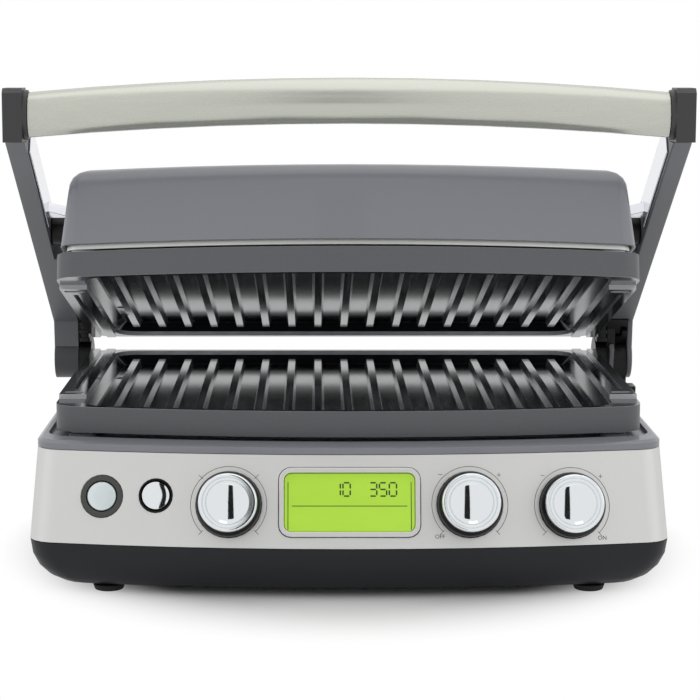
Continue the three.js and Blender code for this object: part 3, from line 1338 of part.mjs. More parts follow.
const UPPER_TOP = 2 * MIRROR_HEIGHT - PLATE_BOTTOM;
const COVER_BOTTOM = UPPER_TOP + LID_EDGE;
const COVER_TOP = COVER_BOTTOM + LID_HEIGHT;
const lidPivot = armPoint(PIVOT_ALONG, PIVOT_OFF);

/** The cover's outer or inner form, from a height up, drawn in by an inset. */
function coverForm(bottom, inset) {
  const crownBottom = COVER_TOP - LID_CROWN;
  const sections = [{ z: bottom, points: bowedOutline(plateOutline, LID_INSET + inset) }];
  for (let i = 0; i <= LID_STEPS; i += 1) {
    const turn = ((i / LID_STEPS) * Math.PI) / 2;
    const draw = LID_SIDE_DRAW + LID_CROWN * (1 - Math.cos(turn));
    const z = crownBottom + LID_CROWN * Math.sin(turn) - inset;
    sections.push({ z, points: bowedOutline(plateOutline, LID_INSET + inset + draw) });
  }
  return loft(sections);
}

/** The domed painted cover. */
function lidCover() {
  const reach = PLATE_HALF + OVERRUN;
  const pivotHole = slab(circle(lidPivot.x, lidPivot.y, PIVOT_PIN + RUNNING, SMALL_SIDES), -reach, reach);
  return coverForm(COVER_BOTTOM, 0)
    .subtract(coverForm(COVER_BOTTOM - OVERRUN, LID_WALL))
    .subtract(pivotHole);
}
add(shut, "lid_cover", lidCover(), "graphitePaint");

/** The bright steel pan whose edge shows under the cover, open in the middle for the reflector. */
function lidPan() {
  const bottom = UPPER_TOP + LID_GAP;
  const top = bottom + LID_PAN_HEIGHT;
  const wall = prism(bowedOutline(plateOutline, LID_PAN_INSET), bottom, top);
  const hollow = bowedOutline(plateOutline, LID_PAN_INSET + LID_PAN_SHEET);
  const inside = prism(hollow, bottom + LID_PAN_SHEET, top + OVERRUN);
  const opening = prism(bowedOutline(plateOutline, DECK_OPENING_MARGIN), bottom - OVERRUN, top);
  const wallRear = PLATE_REAR - LID_PAN_INSET - LID_PAN_SHEET;
  return hooks(PLATE_BOTTOM - LID_GAP - HOOK_LINK, wallRear)
    .map(lidSideUp)
    .reduce((made, hook) => made.add(hook), wall.subtract(inside).subtract(opening));
}
add(shut, "lid_pan", lidPan(), "brushedSteel");

const panFloor = UPPER_TOP + LID_GAP + LID_PAN_SHEET;
const flangeMirrored = 2 * MIRROR_HEIGHT - RECESS_FLOOR - SEAT - PAN_SHEET;
const upperReflector = lidSideUp(reflectorSolid).translate([0, 0, panFloor + SEAT - flangeMirrored]);
add(shut, "upper_plate", lidSideUp(lowerPlate), "castPlate");
add(shut, "upper_reflector", upperReflector, "sheetSteel");
add(shut, "upper_heating_element", lidSideUp(elementSolid), "sheetSteel");

/** A bracket inside the lid that holds one pivot pin. */
function pivotBracket() {
  const coverSide = PLATE_HALF - BRACKET_INSET;
  const half = BRACKET_SIZE / 2;
  const inner = coverSide - BRACKET_SHEET;
  const top = lidPivot.y + PIVOT_PIN + BRACKET_CREST;
  const block = box(inner, coverSide, lidPivot.x - half, lidPivot.x + half, panFloor + SEAT, top);
  const hole = circle(lidPivot.x, lidPivot.y, PIVOT_PIN + RUNNING, SMALL_SIDES);
  return block.subtract(slab(hole, inner - OVERRUN, coverSide + OVERRUN));
}
add(shut, "left_pivot_bracket", toLeft(pivotBracket()), "sheetSteel");
add(shut, "right_pivot_bracket", pivotBracket(), "sheetSteel");

// The finished grill stands centred over its origin.
grill.updateMatrixWorld(true);
const bounds = new THREE.Box3().setFromObject(grill, true);
const middle = bounds.getCenter(new THREE.Vector3());
grill.position.set(-middle.x, -middle.y, -bounds.min.z);

export default grill;
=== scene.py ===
"""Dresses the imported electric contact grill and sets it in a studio.

CAD nodes are copied with rounded edges and a finish. The knobs, the push buttons, the display's
film, the panel's print and the guards on the hinge towers are modelled anew.
"""

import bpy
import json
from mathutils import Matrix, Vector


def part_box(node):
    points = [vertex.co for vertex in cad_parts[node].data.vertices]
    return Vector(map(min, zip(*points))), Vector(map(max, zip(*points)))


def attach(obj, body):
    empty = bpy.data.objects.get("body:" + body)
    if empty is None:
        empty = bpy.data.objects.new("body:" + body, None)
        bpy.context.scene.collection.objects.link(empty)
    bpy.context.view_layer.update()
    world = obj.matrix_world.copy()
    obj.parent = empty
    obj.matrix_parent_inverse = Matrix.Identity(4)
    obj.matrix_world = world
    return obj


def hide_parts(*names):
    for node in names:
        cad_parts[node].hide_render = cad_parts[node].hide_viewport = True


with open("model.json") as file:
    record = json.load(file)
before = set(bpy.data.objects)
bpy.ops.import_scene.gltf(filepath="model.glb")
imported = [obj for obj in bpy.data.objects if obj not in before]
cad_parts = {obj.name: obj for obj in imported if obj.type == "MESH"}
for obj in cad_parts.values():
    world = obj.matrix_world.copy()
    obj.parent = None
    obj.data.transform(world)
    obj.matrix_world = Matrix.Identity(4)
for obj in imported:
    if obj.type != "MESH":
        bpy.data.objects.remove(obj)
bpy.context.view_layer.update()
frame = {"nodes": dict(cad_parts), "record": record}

import json
import logging
import math
from collections.abc import Callable, Iterator
from contextlib import contextmanager
from dataclasses import dataclass
from enum import Enum

import bmesh
import bpy
from mathutils import Matrix, Vector

Piece = bpy.types.Object
Pair = tuple[float, float]
Triple = tuple[float, float, float]

log = logging.getLogger("grill")

MM = 0.001
BEHAVIOUR = frame["record"]["behaviour"]
JOINTS = {joint["name"]: joint for joint in BEHAVIOUR["joints"]}
BODY_OF = {node: body for body, nodes in BEHAVIOUR["bodies"].items() for node in nodes}
SLOT_OF = {row["node"]: row["material_slot"] for row in frame["record"]["subparts"]}
HINGE = Vector(JOINTS["arm_hinge"]["pos_m"])
TILT = math.radians(-JOINTS["arm_hinge"]["range_deg"][0])  # how far the lid is lifted at rest
ORIGIN = Matrix.Identity(4)
HANDS = ("left", "right")
SMOOTH = math.radians(34)  # faces that meet flatter than this are shaded as one
FLAT = math.radians(0.4)  # triangles that meet flatter than this become one face
MERGE = 0.01 * MM  # vertices that lie closer than this become one
CURVE = 10  # steps along a turned curve
TIP = 0.1 * MM  # radius where a turned crown ends
SHAFT_SIDES = 32  # faces round a thin shaft
DETAIL = 3.0  # finer layers of a finish's pattern
BUMP = 0.5  # share of its relief that the shading takes


# The bench: operators on one piece at a time


def take(piece: Piece) -> None:
    """Makes a piece the only selected one and the active one.

    Args:
        piece: The piece to work on.
    """
    for other in bpy.context.selected_objects:
        other.select_set(False)
    piece.select_set(True)
    bpy.context.view_layer.objects.active = piece


@contextmanager
def editing(piece: Piece) -> Iterator[None]:
    """Opens a piece in edit mode, with all of it selected, and leaves it again.

    Args:
        piece: The piece to edit.

    Yields:
        Nothing.
    """
    take(piece)
    bpy.ops.object.mode_set(mode="EDIT")
    bpy.ops.mesh.select_mode(type="VERT")
    bpy.ops.mesh.select_all(action="SELECT")
    yield
    bpy.ops.object.mode_set(mode="OBJECT")


def choose(piece: Piece, wanted: Callable[[bmesh.types.BMFace], bool]) -> None:
    """Selects the faces that a test picks, in edit mode.

    Args:
        piece: The piece in edit mode.
        wanted: The test.
    """
    bpy.ops.mesh.select_mode(type="FACE")
    bpy.ops.mesh.select_all(action="DESELECT")
    shape = bmesh.from_edit_mesh(piece.data)
    for face in shape.faces:
        if wanted(face):
            face.select_set(True)
    shape.select_flush_mode()
    bmesh.update_edit_mesh(piece.data)


def extrude(rise: float, share: Pair = (1, 1)) -> None:
    """Extrudes what is selected in edit mode and scales it about its middle.

    Args:
        rise: How far it moves along Z.
        share: Its scale along X and Y.
    """
    bpy.ops.mesh.extrude_region_move(TRANSFORM_OT_translate={"value": (0, 0, rise)})
    if share != (1, 1):
        bpy.ops.transform.resize(value=(*share, 1))


def face_outwards() -> None:
    """Turns every face of the piece in edit mode outwards."""
    bpy.ops.mesh.select_all(action="SELECT")
    bpy.ops.mesh.normals_make_consistent(inside=False)


def modify(piece: Piece, kind: str, **settings: object) -> None:
    """Adds a modifier, sets it and applies it.

    Args:
        piece: The piece to change.
        kind: The modifier's type.
        settings: The modifier's settings.
    """
    take(piece)
    modifier = piece.modifiers.new(kind.title(), kind)
    for key, value in settings.items():
        setattr(modifier, key, value)
    bpy.ops.object.modifier_apply(modifier=modifier.name)


def soften(piece: Piece, width: float, segments: int = 2, material: int = -1) -> None:
    """Rounds a piece's edges and shades it smooth.

    Args:
        piece: The piece to round.
        width: Width of the rounding in metres; 0 leaves the edges.
        segments: Faces across the rounding.
        material: Material index of the rounding; -1 takes its neighbours'.
    """
    if width > 0:
        limits = {"limit_method": "ANGLE", "angle_limit": SMOOTH, "material": material}
        modify(piece, "BEVEL", width=width, segments=segments, **limits)
    take(piece)
    bpy.ops.object.shade_smooth_by_angle(angle=SMOOTH)
    modify(piece, "WEIGHTED_NORMAL", keep_sharp=True)


def settle(piece: Piece, place: Matrix = ORIGIN) -> Piece:
    """Puts a piece in its frame and moves its place into its mesh.

    Args:
        piece: A piece made at the origin of that frame.
        place: The frame in the grill's coordinates.

    Returns:
        The same piece.
    """
    piece.matrix_basis = place @ piece.matrix_basis
    take(piece)
    bpy.ops.object.transform_apply(location=True, rotation=True, scale=True)
    return piece


def join(first: Piece, *others: Piece) -> Piece:
    """Joins pieces into one.

    Args:
        first: The piece that stays.
        others: The pieces that go into it.

    Returns:
        The joined piece.
    """
    take(first)
    for other in others:
        other.select_set(True)
    bpy.ops.object.join()
    return first


def copy_of(node: str) -> Piece:
    """Copies a CAD node bare, merges its loose triangles and dissolves the flat ones.

    Args:
        node: The node's name.

    Returns:
        The copy, at the origin and without a material.
    """
    source = frame["nodes"][node]
    piece = source.copy()
    piece.data = source.data.copy()
    piece.parent = None
    piece.matrix_world = ORIGIN
    bpy.context.scene.collection.objects.link(piece)
    with editing(piece):
        bpy.ops.mesh.remove_doubles(threshold=MERGE)
        bpy.ops.mesh.dissolve_limited(angle_limit=FLAT)
    piece.data.materials.clear()
    return piece


def rectangle(width: float, height: float, place: Matrix) -> Piece:
    """Models one rectangular face in the XY plane of a frame.

    Args:
        width: Size along X.
        height: Size along Y.
        place: The frame.

    Returns:
        The face, with its middle at the frame's origin.
    """
    bpy.ops.mesh.primitive_plane_add(size=1)
    piece = bpy.context.object
    piece.scale = (width, height, 1)
    return settle(piece, place)


def turned(steps: list[Pair], sides: int = 96) -> Piece:
    """Models a turned piece about Z: a disc that is extruded and scaled from step to step.

    Args:
        steps: Radius and height of each step, from the back to the front.
        sides: Faces round the axis.

    Returns:
        The closed piece, at the origin.
    """
    radius, height = steps[0]
    bpy.ops.mesh.primitive_circle_add(
        vertices=sides, radius=radius, fill_type="NGON", location=(0, 0, height)
    )
    piece = bpy.context.object
    with editing(piece):
        for next_radius, next_height in steps[1:]:
            share = next_radius / radius
            extrude(next_height - height, (share, share))
            radius, height = next_radius, next_height
        face_outwards()
    return settle(piece)


def slab(
    width: float, height: float, corner: float, low: float, high: float, steps: int = 1
) -> Piece:
    """Models a slab with rounded corners that lies in the XY plane.

    Args:
        width: Size along X.
        height: Size along Y.
        corner: Radius of the corners.
        low: Z of its back.
        high: Z of its front.
        steps: Faces round each corner.

    Returns:
        The closed slab, centred on the origin.
    """
    piece = rectangle(width, height, Matrix.Translation((0, 0, low)))
    with editing(piece):
        bpy.ops.mesh.bevel(offset=corner, segments=steps, affect="VERTICES")
        bpy.ops.mesh.select_all(action="SELECT")
        extrude(high - low)
        face_outwards()
    return piece


# Finishes


def linear(code: str) -> tuple[float, float, float, float]:
    """Turns an sRGB hex colour into the linear colour that a shader takes.

    Args:
        code: Six hex digits.

    Returns:
        Linear red, green, blue and an alpha of 1.
    """
    shares = (int(code[i : i + 2], 16) / 255 for i in (0, 2, 4))
    red, green, blue = (s / 12.92 if s <= 0.04045 else ((s + 0.055) / 1.055) ** 2.4 for s in shares)
    return red, green, blue, 1.0


def even(size: float) -> Triple:
    """Returns the size of a pattern that is the same along X, Y and Z."""
    return size, size, size


def add_node(
    tree: bpy.types.NodeTree,
    kind: str,
    inputs: dict[str | int, object] | None = None,
    **settings: object,
) -> bpy.types.Node:
    """Adds a node with its settings, values and links.

    Args:
        tree: The material's or the world's nodes.
        kind: The node's type, without "ShaderNode".
        inputs: Value or source socket for each input.
        settings: The node's own settings.

    Returns:
        The node.
    """
    made = tree.nodes.new(f"ShaderNode{kind}")
    for key, value in settings.items():
        setattr(made, key, value)
    for key, value in (inputs or {}).items():
        if isinstance(value, bpy.types.NodeSocket):
            tree.links.new(value, made.inputs[key])
        else:
            made.inputs[key].default_value = value
    return made


@dataclass(frozen=True)
class Finish:
    """A finish: colour, gloss, and the pattern that its making left.

    Attributes:
        name: The material and how its surface was made.
        colour: sRGB hex colour.
        rough: Roughness share.
        metal: Metallic share.
        grain: Size of the pattern in mm along X, Y and Z.
        relief: Height of the pattern in mm.
        mottle: How far the pattern darkens and lightens the colour.
        polish: How far the pattern changes the roughness.
        ior: Refractive index; metals keep the default.
        coat: Share of clear coat.
        glow: Strength of the light that it gives off.
    """

    name: str
    colour: str
    rough: float
    metal: float = 0.0
    grain: Triple = even(1.0)
    relief: float = 0.01
    mottle: float = 0.04
    polish: float = 0.06
    ior: float = 1.5
    coat: float = 0.0
    glow: float = 0.0

    def build(self) -> bpy.types.Material:
        """Makes the finish's material, once.

        Returns:
            The material.
        """
        known = bpy.data.materials.get(self.name)
        if known:
            return known
        material = bpy.data.materials.new(self.name)
        material.use_nodes = True
        tree = material.node_tree
        shader = tree.nodes["Principled BSDF"]
        shader.inputs["Metallic"].default_value = self.metal
        if self.metal < 1:
            shader.inputs["IOR"].default_value = self.ior
        shader.inputs["Coat Weight"].default_value = self.coat
        place = add_node(tree, "TexCoord").outputs["Object"]
        scale = tuple(1 / (size * MM) for size in self.grain)
        spread = add_node(tree, "Mapping", {"Vector": place, "Scale": scale}).outputs["Vector"]
        layers = {"Vector": spread, "Scale": 1.0, "Detail": DETAIL}
        grain = add_node(tree, "TexNoise", layers).outputs["Fac"]
        self.paint(tree, shader, grain)
        span = {"To Min": self.rough - self.polish, "To Max": self.rough + self.polish}
        rough = add_node(tree, "MapRange", {"Value": grain, **span})
        tree.links.new(rough.outputs["Result"], shader.inputs["Roughness"])
        if self.relief > 0:
            height = {"Height": grain, "Strength": BUMP, "Distance": self.relief * MM}
            bump = add_node(tree, "Bump", height)
            tree.links.new(bump.outputs["Normal"], shader.inputs["Normal"])
        return material

    def paint(
        self, tree: bpy.types.NodeTree, shader: bpy.types.Node, grain: bpy.types.NodeSocket
    ) -> None:
        """Colours the shader.

        Args:
            tree: The material's nodes.
            shader: The surface shader.
            grain: The pattern, from 0 to 1.
        """
        base = linear(self.colour)[:3]
        dark = (*(share * (1 - self.mottle) for share in base), 1.0)
        light = (*(min(1.0, share * (1 + self.mottle)) for share in base), 1.0)
        mix = add_node(tree, "Mix", {0: grain, 6: dark, 7: light}, data_type="RGBA")
        tree.links.new(mix.outputs[2], shader.inputs["Base Color"])
        if self.glow > 0:
            tree.links.new(mix.outputs[2], shader.inputs["Emission Color"])
            shader.inputs["Emission Strength"].default_value = self.glow


# Sprayed and baked lacquer: faint orange peel under an even satin.
LACQUER = Finish(
    "graphite_lacquer_sprayed", "86878e", 0.34, grain=even(2.2), relief=0.012, mottle=0.02,
    coat=0.15,
)
# Glass-filled nylon from a textured mould: a fine dull grain.
NYLON = Finish("grey_nylon_moulded", "6c6d72", 0.46, grain=even(0.9), relief=0.02, mottle=0.03)
# The same nylon in a darker grey.
BARREL = Finish(
    "dark_grey_nylon_moulded", "4b4c50", 0.46, grain=even(0.9), relief=0.02, mottle=0.03
)
# ABS from a spark-eroded mould: a coarse dull grain.
ABS = Finish(
    "charcoal_abs_moulded", "232428", 0.46, grain=even(0.8), relief=0.025, mottle=0.05, ior=1.33
)
# The same resin in black, from a finer mould: it takes a little shine.
BLACK_ABS = Finish(
    "black_abs_moulded", "0c0c0d", 0.36, grain=even(0.8), relief=0.012, mottle=0.05, ior=1.33
)
# The same resin in light charcoal, satin.
CHARCOAL_ABS = Finish(
    "charcoal_abs_satin_moulded", "38383a", 0.42, grain=even(0.8), relief=0.015, mottle=0.05
)
# The same resin in dark grey, from a polished mould.
GREY_ABS = Finish(
    "dark_grey_abs_moulded", "444442", 0.3, grain=even(0.8), relief=0.008, mottle=0.05
)
# Stainless sheet brushed along X: long scratches, drawn coarser than real so that they show.
BRUSHED = Finish(
    "stainless_steel_brushed", "d3d3d1", 0.46, 1.0, grain=(42.0, 0.5, 0.5), relief=0.004,
    mottle=0.035, polish=0.07,
)
# Aluminium tube, brushed lengthways and clear anodised: long streaks, coarser than real as well.
ALUMINIUM = Finish(
    "anodised_aluminium_brushed", "c8cac0", 0.26, 0.6, grain=(130.0, 2.2, 2.2), relief=0.0015,
    mottle=0.05, polish=0.08,
)
# Stainless strip, polished lengthways: it takes the white of what is round it.
STRIP = Finish(
    "stainless_steel_polished", "e4e5ea", 0.2, 1.0, grain=(0.5, 20.0, 0.5), relief=0.002,
    mottle=0.03,
)
# Cast aluminium under a sprayed ceramic nonstick coating: fine mineral speckle.
CERAMIC = Finish(
    "ceramic_nonstick_sprayed", "5e5f63", 0.42, grain=even(0.7), relief=0.015, mottle=0.16,
    polish=0.05,
)
# The same coating where food lies: fired smooth, so it mirrors.
CERAMIC_GLOSS = Finish(
    "ceramic_nonstick_fired", "33363b", 0.12, 0.5, grain=even(3.0), relief=0.002, mottle=0.1,
    polish=0.03,
)
# Its upright walls: the same coating painted near white, a painted highlight on the rib walls and
# on the rear wall that lies in shade.
CERAMIC_WALL_PAINTED_HIGHLIGHT = Finish(
    "ceramic_nonstick_wall_painted_highlight", "c0c2c6", 0.2, 0.3, grain=even(0.9), relief=0.003, mottle=0.06,
    polish=0.04, coat=0.4,
)
# Its rounded edges: the same coating painted near white, a painted highlight along every edge.
CERAMIC_EDGE_PAINTED_HIGHLIGHT = Finish(
    "ceramic_nonstick_edge_painted_highlight", "e2e4e8", 0.16, 0.4, grain=even(0.9), relief=0.0, mottle=0.04,
    polish=0.03, coat=0.5,
)
# Polished chrome plate, with only a breath of unevenness.
CHROME = Finish(
    "chrome_plated", "dfe3e5", 0.05, 1.0, grain=even(12.0), relief=0.0, mottle=0.01, polish=0.02
)
# Chrome plate over a blasted face: bright, but it mirrors nothing sharply.
CHROME_SATIN = Finish(
    "chrome_plated_satin", "dbe4e5", 0.4, 1.0, grain=even(0.6), relief=0.004, mottle=0.03
)
# Rubber from a rough mould: almost no shine.
RUBBER = Finish("black_rubber_moulded", "131314", 0.8, grain=even(0.6), relief=0.03, mottle=0.08)
# Mill-finished sheet: rolled in one direction.
ROLLED = Finish(
    "steel_sheet_rolled", "9a9da0", 0.38, 1.0, grain=(20.0, 1.2, 1.2), relief=0.006, mottle=0.05
)
# Backlit liquid-crystal glass: a soft, slightly uneven glow.
BACKLIT = Finish(
    "display_glass_backlit", "abd73f", 0.25, grain=(60.0, 24.0, 24.0), relief=0.0, mottle=0.07,
    glow=0.3,
)
# Polarised film over the glass: flat and dark.
SEGMENT = Finish("display_segment_film", "2c4416", 0.4, grain=even(3.0), relief=0.0, mottle=0.04)
# Screen-printed ink: flat and matt.
INK = Finish("screen_printed_ink", "2c2c2e", 0.6, grain=even(0.8), relief=0.0, mottle=0.06)
# Solder mask over copper: glossy, uneven over the tracks.
SOLDER_MASK = Finish("circuit_board_solder_mask", "1f5a36", 0.35, grain=even(4.0), mottle=0.1)
# Black felt on a studio card: polished pieces mirror it as a plain dark bar.
FELT = Finish("card_black_felt", "050505", 0.9)


class Gloss(Enum):
    """Which finish a record slot takes."""

    graphite_paint = LACQUER
    arm_plastic = NYLON
    charcoal_plastic = ABS
    black_plastic = BLACK_ABS
    brushed_steel = BRUSHED
    brushed_aluminium = ALUMINIUM
    chrome = CHROME
    cast_plate = CERAMIC
    rubber = RUBBER
    sheet_steel = ROLLED
    screen = BACKLIT
    circuit_board = SOLDER_MASK


class Coating(Enum):
    """The coating of a cooking plate, with painted highlights on its edges and walls, in the order
    of its materials.
    """

    outside = CERAMIC
    # the rounded edges: the same coating with a painted highlight
    edge = CERAMIC_EDGE_PAINTED_HIGHLIGHT
    food = CERAMIC_GLOSS
    # the upright walls inside: the same coating with a painted highlight
    wall = CERAMIC_WALL_PAINTED_HIGHLIGHT

    @property
    def index(self) -> int:
        """Returns the coating's place among a plate's materials."""
        return list(Coating).index(self)


def finish(piece: Piece, look: Finish) -> None:
    """Gives a piece one finish."""
    piece.data.materials.clear()
    piece.data.materials.append(look.build())


def fit(
    piece: Piece, name: str, body: str, look: Finish | None, slot: str, *nodes: str
) -> None:
    """Names a finished piece, dresses it, and hangs it on its body.

    Args:
        piece: The piece, at its place in the grill.
        name: Its name.
        body: The CAD body that it moves with.
        look: Its finish; without one it keeps its materials.
        slot: The record's slot for its finish; not used.
        nodes: CAD nodes that it stands for.
    """
    piece.name = name
    piece.data.name = name
    if look:
        finish(piece, look)
    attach(piece, body)
    if nodes:
        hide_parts(*nodes)
    log.info("%s rides on %s, %d faces", name, body, len(piece.data.polygons))


def dress(node: str, edge: float, segments: int = 2, look: Finish | None = None) -> None:
    """Replaces a CAD node by a copy with rounded edges and its slot's finish.

    Args:
        node: The node's name.
        edge: Width of the edge rounding in metres.
        segments: Faces across the rounding.
        look: Its finish, where that isn't its slot's.
    """
    piece = copy_of(node)
    soften(piece, edge, segments)
    slot = SLOT_OF[node]
    fit(piece, f"{node}_dressed", BODY_OF[node], look or Gloss[slot].value, slot, node)


# The frame of the leaning panel, in which its controls and its print are placed

PANEL_PROUD = 2.0 * MM  # from the middle of the display's frame out to the panel's surface
PANEL_BOW = 850 * MM  # radius of the panel's bow


def panel_frame() -> Matrix:
    """Finds the panel's frame: X to the right, Y up the slope, Z outwards.

    Returns:
        The frame, on the panel's surface at the middle of the display.
    """
    outward = -Vector(JOINTS["plate_knob_turn"]["axis"]).normalized()
    right = Vector((1, 0, 0))
    up = outward.cross(right)
    low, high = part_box("display_frame")
    middle = (low + high) / 2 + outward * PANEL_PROUD
    turn = Matrix((right, up, outward)).transposed().to_4x4()
    return Matrix.Translation(middle) @ turn


PANEL = panel_frame()
LEAN = math.asin(PANEL.col[2].z)


def on_panel(x: float, y: float) -> Matrix:
    """Returns the frame of a control at a place on the bowed panel."""
    sag = PANEL_BOW - math.sqrt(PANEL_BOW**2 - x**2)
    return PANEL @ Matrix.Translation((x, y, -sag * math.cos(LEAN)))


def heights(node: str, place: Matrix) -> list[float]:
    """Returns the height of each vertex of a CAD node in a frame."""
    inward = place.inverted()
    return [(inward @ vertex.co).z for vertex in frame["nodes"][node].data.vertices]


# The grill's assemblies


@dataclass
class Base:
    """The base: tub, panel, deck, feet, hinge towers with their finned guards, and what is inside.

    Attributes:
        moulded: Rounding of moulded edges.
        sheet: Rounding of sheet edges.
        machined: Rounding of small sharp edges.
        guard_gap: Distance of a guard from its tower's two faces.
        guard_sink: How far a guard's foot stands in its tower.
        guard_ends: Front and rear of a guard.
        guard_corner: Radius of its corners.
        fins: Number of its fins.
        fin: Height of a fin; the groove under it is as tall.
        groove: Depth of a groove.
        upward: Share of Z in the normal of a face that looks up.
        shelf: Size of the block that carries the hood over the right arm's cam.
        shelf_foot: Height of its foot.
        hood_rings: Start and end along X, inner and outer radius about the hinge, of each ring.
        hood_turn: Angle in degrees that the hood spans, with its middle straight up.
        hood_steps: Faces along that angle.
    """

    moulded: float = 0.8 * MM
    sheet: float = 0.25 * MM
    machined: float = 0.4 * MM
    guard_gap: float = 0.3 * MM
    guard_sink: float = 1.5 * MM
    guard_ends: Pair = (124 * MM, 150 * MM)
    guard_corner: float = 1.6 * MM
    fins: int = 3
    fin: float = 2.6 * MM
    groove: float = 0.9 * MM
    upward: float = 0.9
    shelf: Triple = (5.7 * MM, 23.5 * MM, 18.0 * MM)
    shelf_foot: float = 100 * MM
    hood_rings: tuple[tuple[float, ...], ...] = (
        (173 * MM, 186.1 * MM, 24.8 * MM, 31.2 * MM),
        (173 * MM, 182.2 * MM, 19.4 * MM, 25.4 * MM),
    )
    hood_turn: float = 60
    hood_steps: int = 12

    def build(self) -> None:
        """Dresses every piece of the base."""
        dress("lower_housing", self.moulded)
        dress("front_panel", self.sheet, 1)
        dress("deck", self.moulded)
        for end in ("front", "rear"):
            for hand in HANDS:
                dress(f"{end}_{hand}_foot", self.machined)
        for hand in HANDS:
            dress(f"{hand}_hinge_tower", self.machined)
            dress(f"{hand}_hinge_pin", self.machined)
            self.guard(hand)
        dress("release_lever", self.machined)
        dress("drip_tray", self.moulded)
        dress("inlet_bushing", self.machined)
        for node in ("reflector", "heating_element", "temperature_sensor"):
            dress(f"lower_{node}", 0)
        for dial in ("plate", "temperature", "time"):
            dress(f"{dial}_encoder", 0)
        for node in ("start_switch", "sear_switch", "display_module", "control_board"):
            dress(node, 0)
        for node in ("power_board", "heater_relay", "terminal_block"):
            dress(node, 0)

    def guard(self, hand: str) -> None:
        """Models the finned guard on a hinge tower, inside the arm.

        Args:
            hand: left or right.
        """
        # the right tower carries a lug as well, so both guards take the left one's width
        left, right = (corner.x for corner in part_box("left_hinge_tower"))
        wide = right - left - 2 * self.guard_gap
        front, rear = self.guard_ends
        deep = rear - front
        piece = slab(wide, deep, self.guard_corner, 0, self.guard_sink + self.fin / 2, 3)
        narrow = ((wide - 2 * self.groove) / wide, (deep - 2 * self.groove) / deep)
        widen = (1 / narrow[0], 1 / narrow[1])
        with editing(piece):
            choose(piece, lambda face: face.normal.z > self.upward)
            for _ in range(self.fins):
                for share in (narrow, widen):  # a groove, then the fin over it
                    extrude(0, share)
                    extrude(self.fin)
        middle = (left + right) / 2 if hand == "left" else -(left + right) / 2
        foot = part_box(f"{hand}_hinge_tower")[1].z - self.guard_sink
        settle(piece, Matrix.Translation((middle, (front + rear) / 2, foot)))
        if hand == "right":
            piece = join(piece, *self.hood())
        soften(piece, self.machined)
        fit(piece, f"{hand}_hinge_guard", "base", BLACK_ABS, "black_plastic")

    def hood(self) -> list[Piece]:
        """Models the hood over the right arm's cam and the shelf that carries it.

        Returns:
            The shelf and the hood's rings, which are spun about the hinge.
        """
        wide, deep, tall = self.shelf
        inside = self.hood_rings[0][0]
        shelf = slab(wide, deep, self.machined, 0, tall)
        settle(shelf, Matrix.Translation((inside + wide / 2, HINGE.y, self.shelf_foot)))
        parts = [shelf]
        begin = Matrix.Rotation(math.radians(90 + self.hood_turn / 2), 4, "X")
        for start, end, inner, outer in self.hood_rings:
            middle = Matrix.Translation(((start + end) / 2, (inner + outer) / 2, 0))
            ring = rectangle(end - start, outer - inner, begin @ middle)
            with editing(ring):
                turn = {"angle": math.radians(self.hood_turn), "axis": (1, 0, 0)}
                bpy.ops.mesh.spin(steps=self.hood_steps, center=(0, 0, 0), **turn)
                face_outwards()
            parts.append(settle(ring, Matrix.Translation((0, HINGE.y, HINGE.z))))
        return parts


@dataclass
class Plates:
    """The two ribbed cooking plates.

    Attributes:
        edge: Rounding of their edges.
        rim: Width of the rim round the cooking side.
        bow: Radius of the bowed front.
        steep: A wall's normal has less than this share of Z.
    """

    edge: float = 0.7 * MM
    rim: float = 2.6 * MM
    bow: float = 710 * MM
    steep: float = 0.5

    def build(self) -> None:
        """Dresses both plates."""
        for node, facing in (("lower_plate", 1), ("upper_plate", -1)):
            piece = copy_of(node)
            for coating in Coating:
                piece.data.materials.append(coating.value.build())
            # the rounding's faces take the edges' painted highlight
            soften(piece, self.edge, 3, Coating.edge.index)
            self.coat(piece, facing)
            fit(piece, f"{node}_dressed", BODY_OF[node], None, SLOT_OF[node], node)

    def coat(self, piece: Piece, facing: int) -> None:
        """Gives the cooking side its glossy coating and its walls their painted highlight.

        Args:
            piece: The plate with rounded edges.
            facing: 1 where the cooking side faces up, -1 where it faces down.
        """
        level = Matrix.Rotation(TILT, 3, "X") if facing < 0 else Matrix.Identity(3)
        hinge = HINGE if facing < 0 else Vector()
        flat = [level @ (vertex.co - hinge) for vertex in piece.data.vertices]
        half = max(place.x for place in flat) - self.rim
        front = min(place.y for place in flat) + self.rim
        rear = max(place.y for place in flat) - self.rim
        for face in piece.data.polygons:
            middle = sum((flat[i] for i in face.vertices), Vector()) / len(face.vertices)
            sag = self.bow - math.sqrt(self.bow**2 - middle.x**2)
            inside = abs(middle.x) < half and front + sag < middle.y < rear
            if inside and face.material_index == Coating.outside.index:
                up = (level @ face.normal).z
                # upright faces inside take the walls' painted highlight
                if abs(up) < self.steep:
                    face.material_index = Coating.wall.index
                elif up * facing > 0:
                    face.material_index = Coating.food.index


@dataclass
class Lid:
    """The lid: cover, steel pan, upper heater and pivot brackets.

    Attributes:
        crown: Rounding of the cover's edges.
        sheet: Rounding of the pan's edges.
    """

    crown: float = 1.2 * MM
    sheet: float = 0.3 * MM

    def build(self) -> None:
        """Dresses the lid."""
        dress("lid_cover", self.crown, 3)
        dress("lid_pan", self.sheet, 1)
        dress("upper_reflector", 0)
        dress("upper_heating_element", 0)
        for hand in HANDS:
            dress(f"{hand}_pivot_bracket", 0)


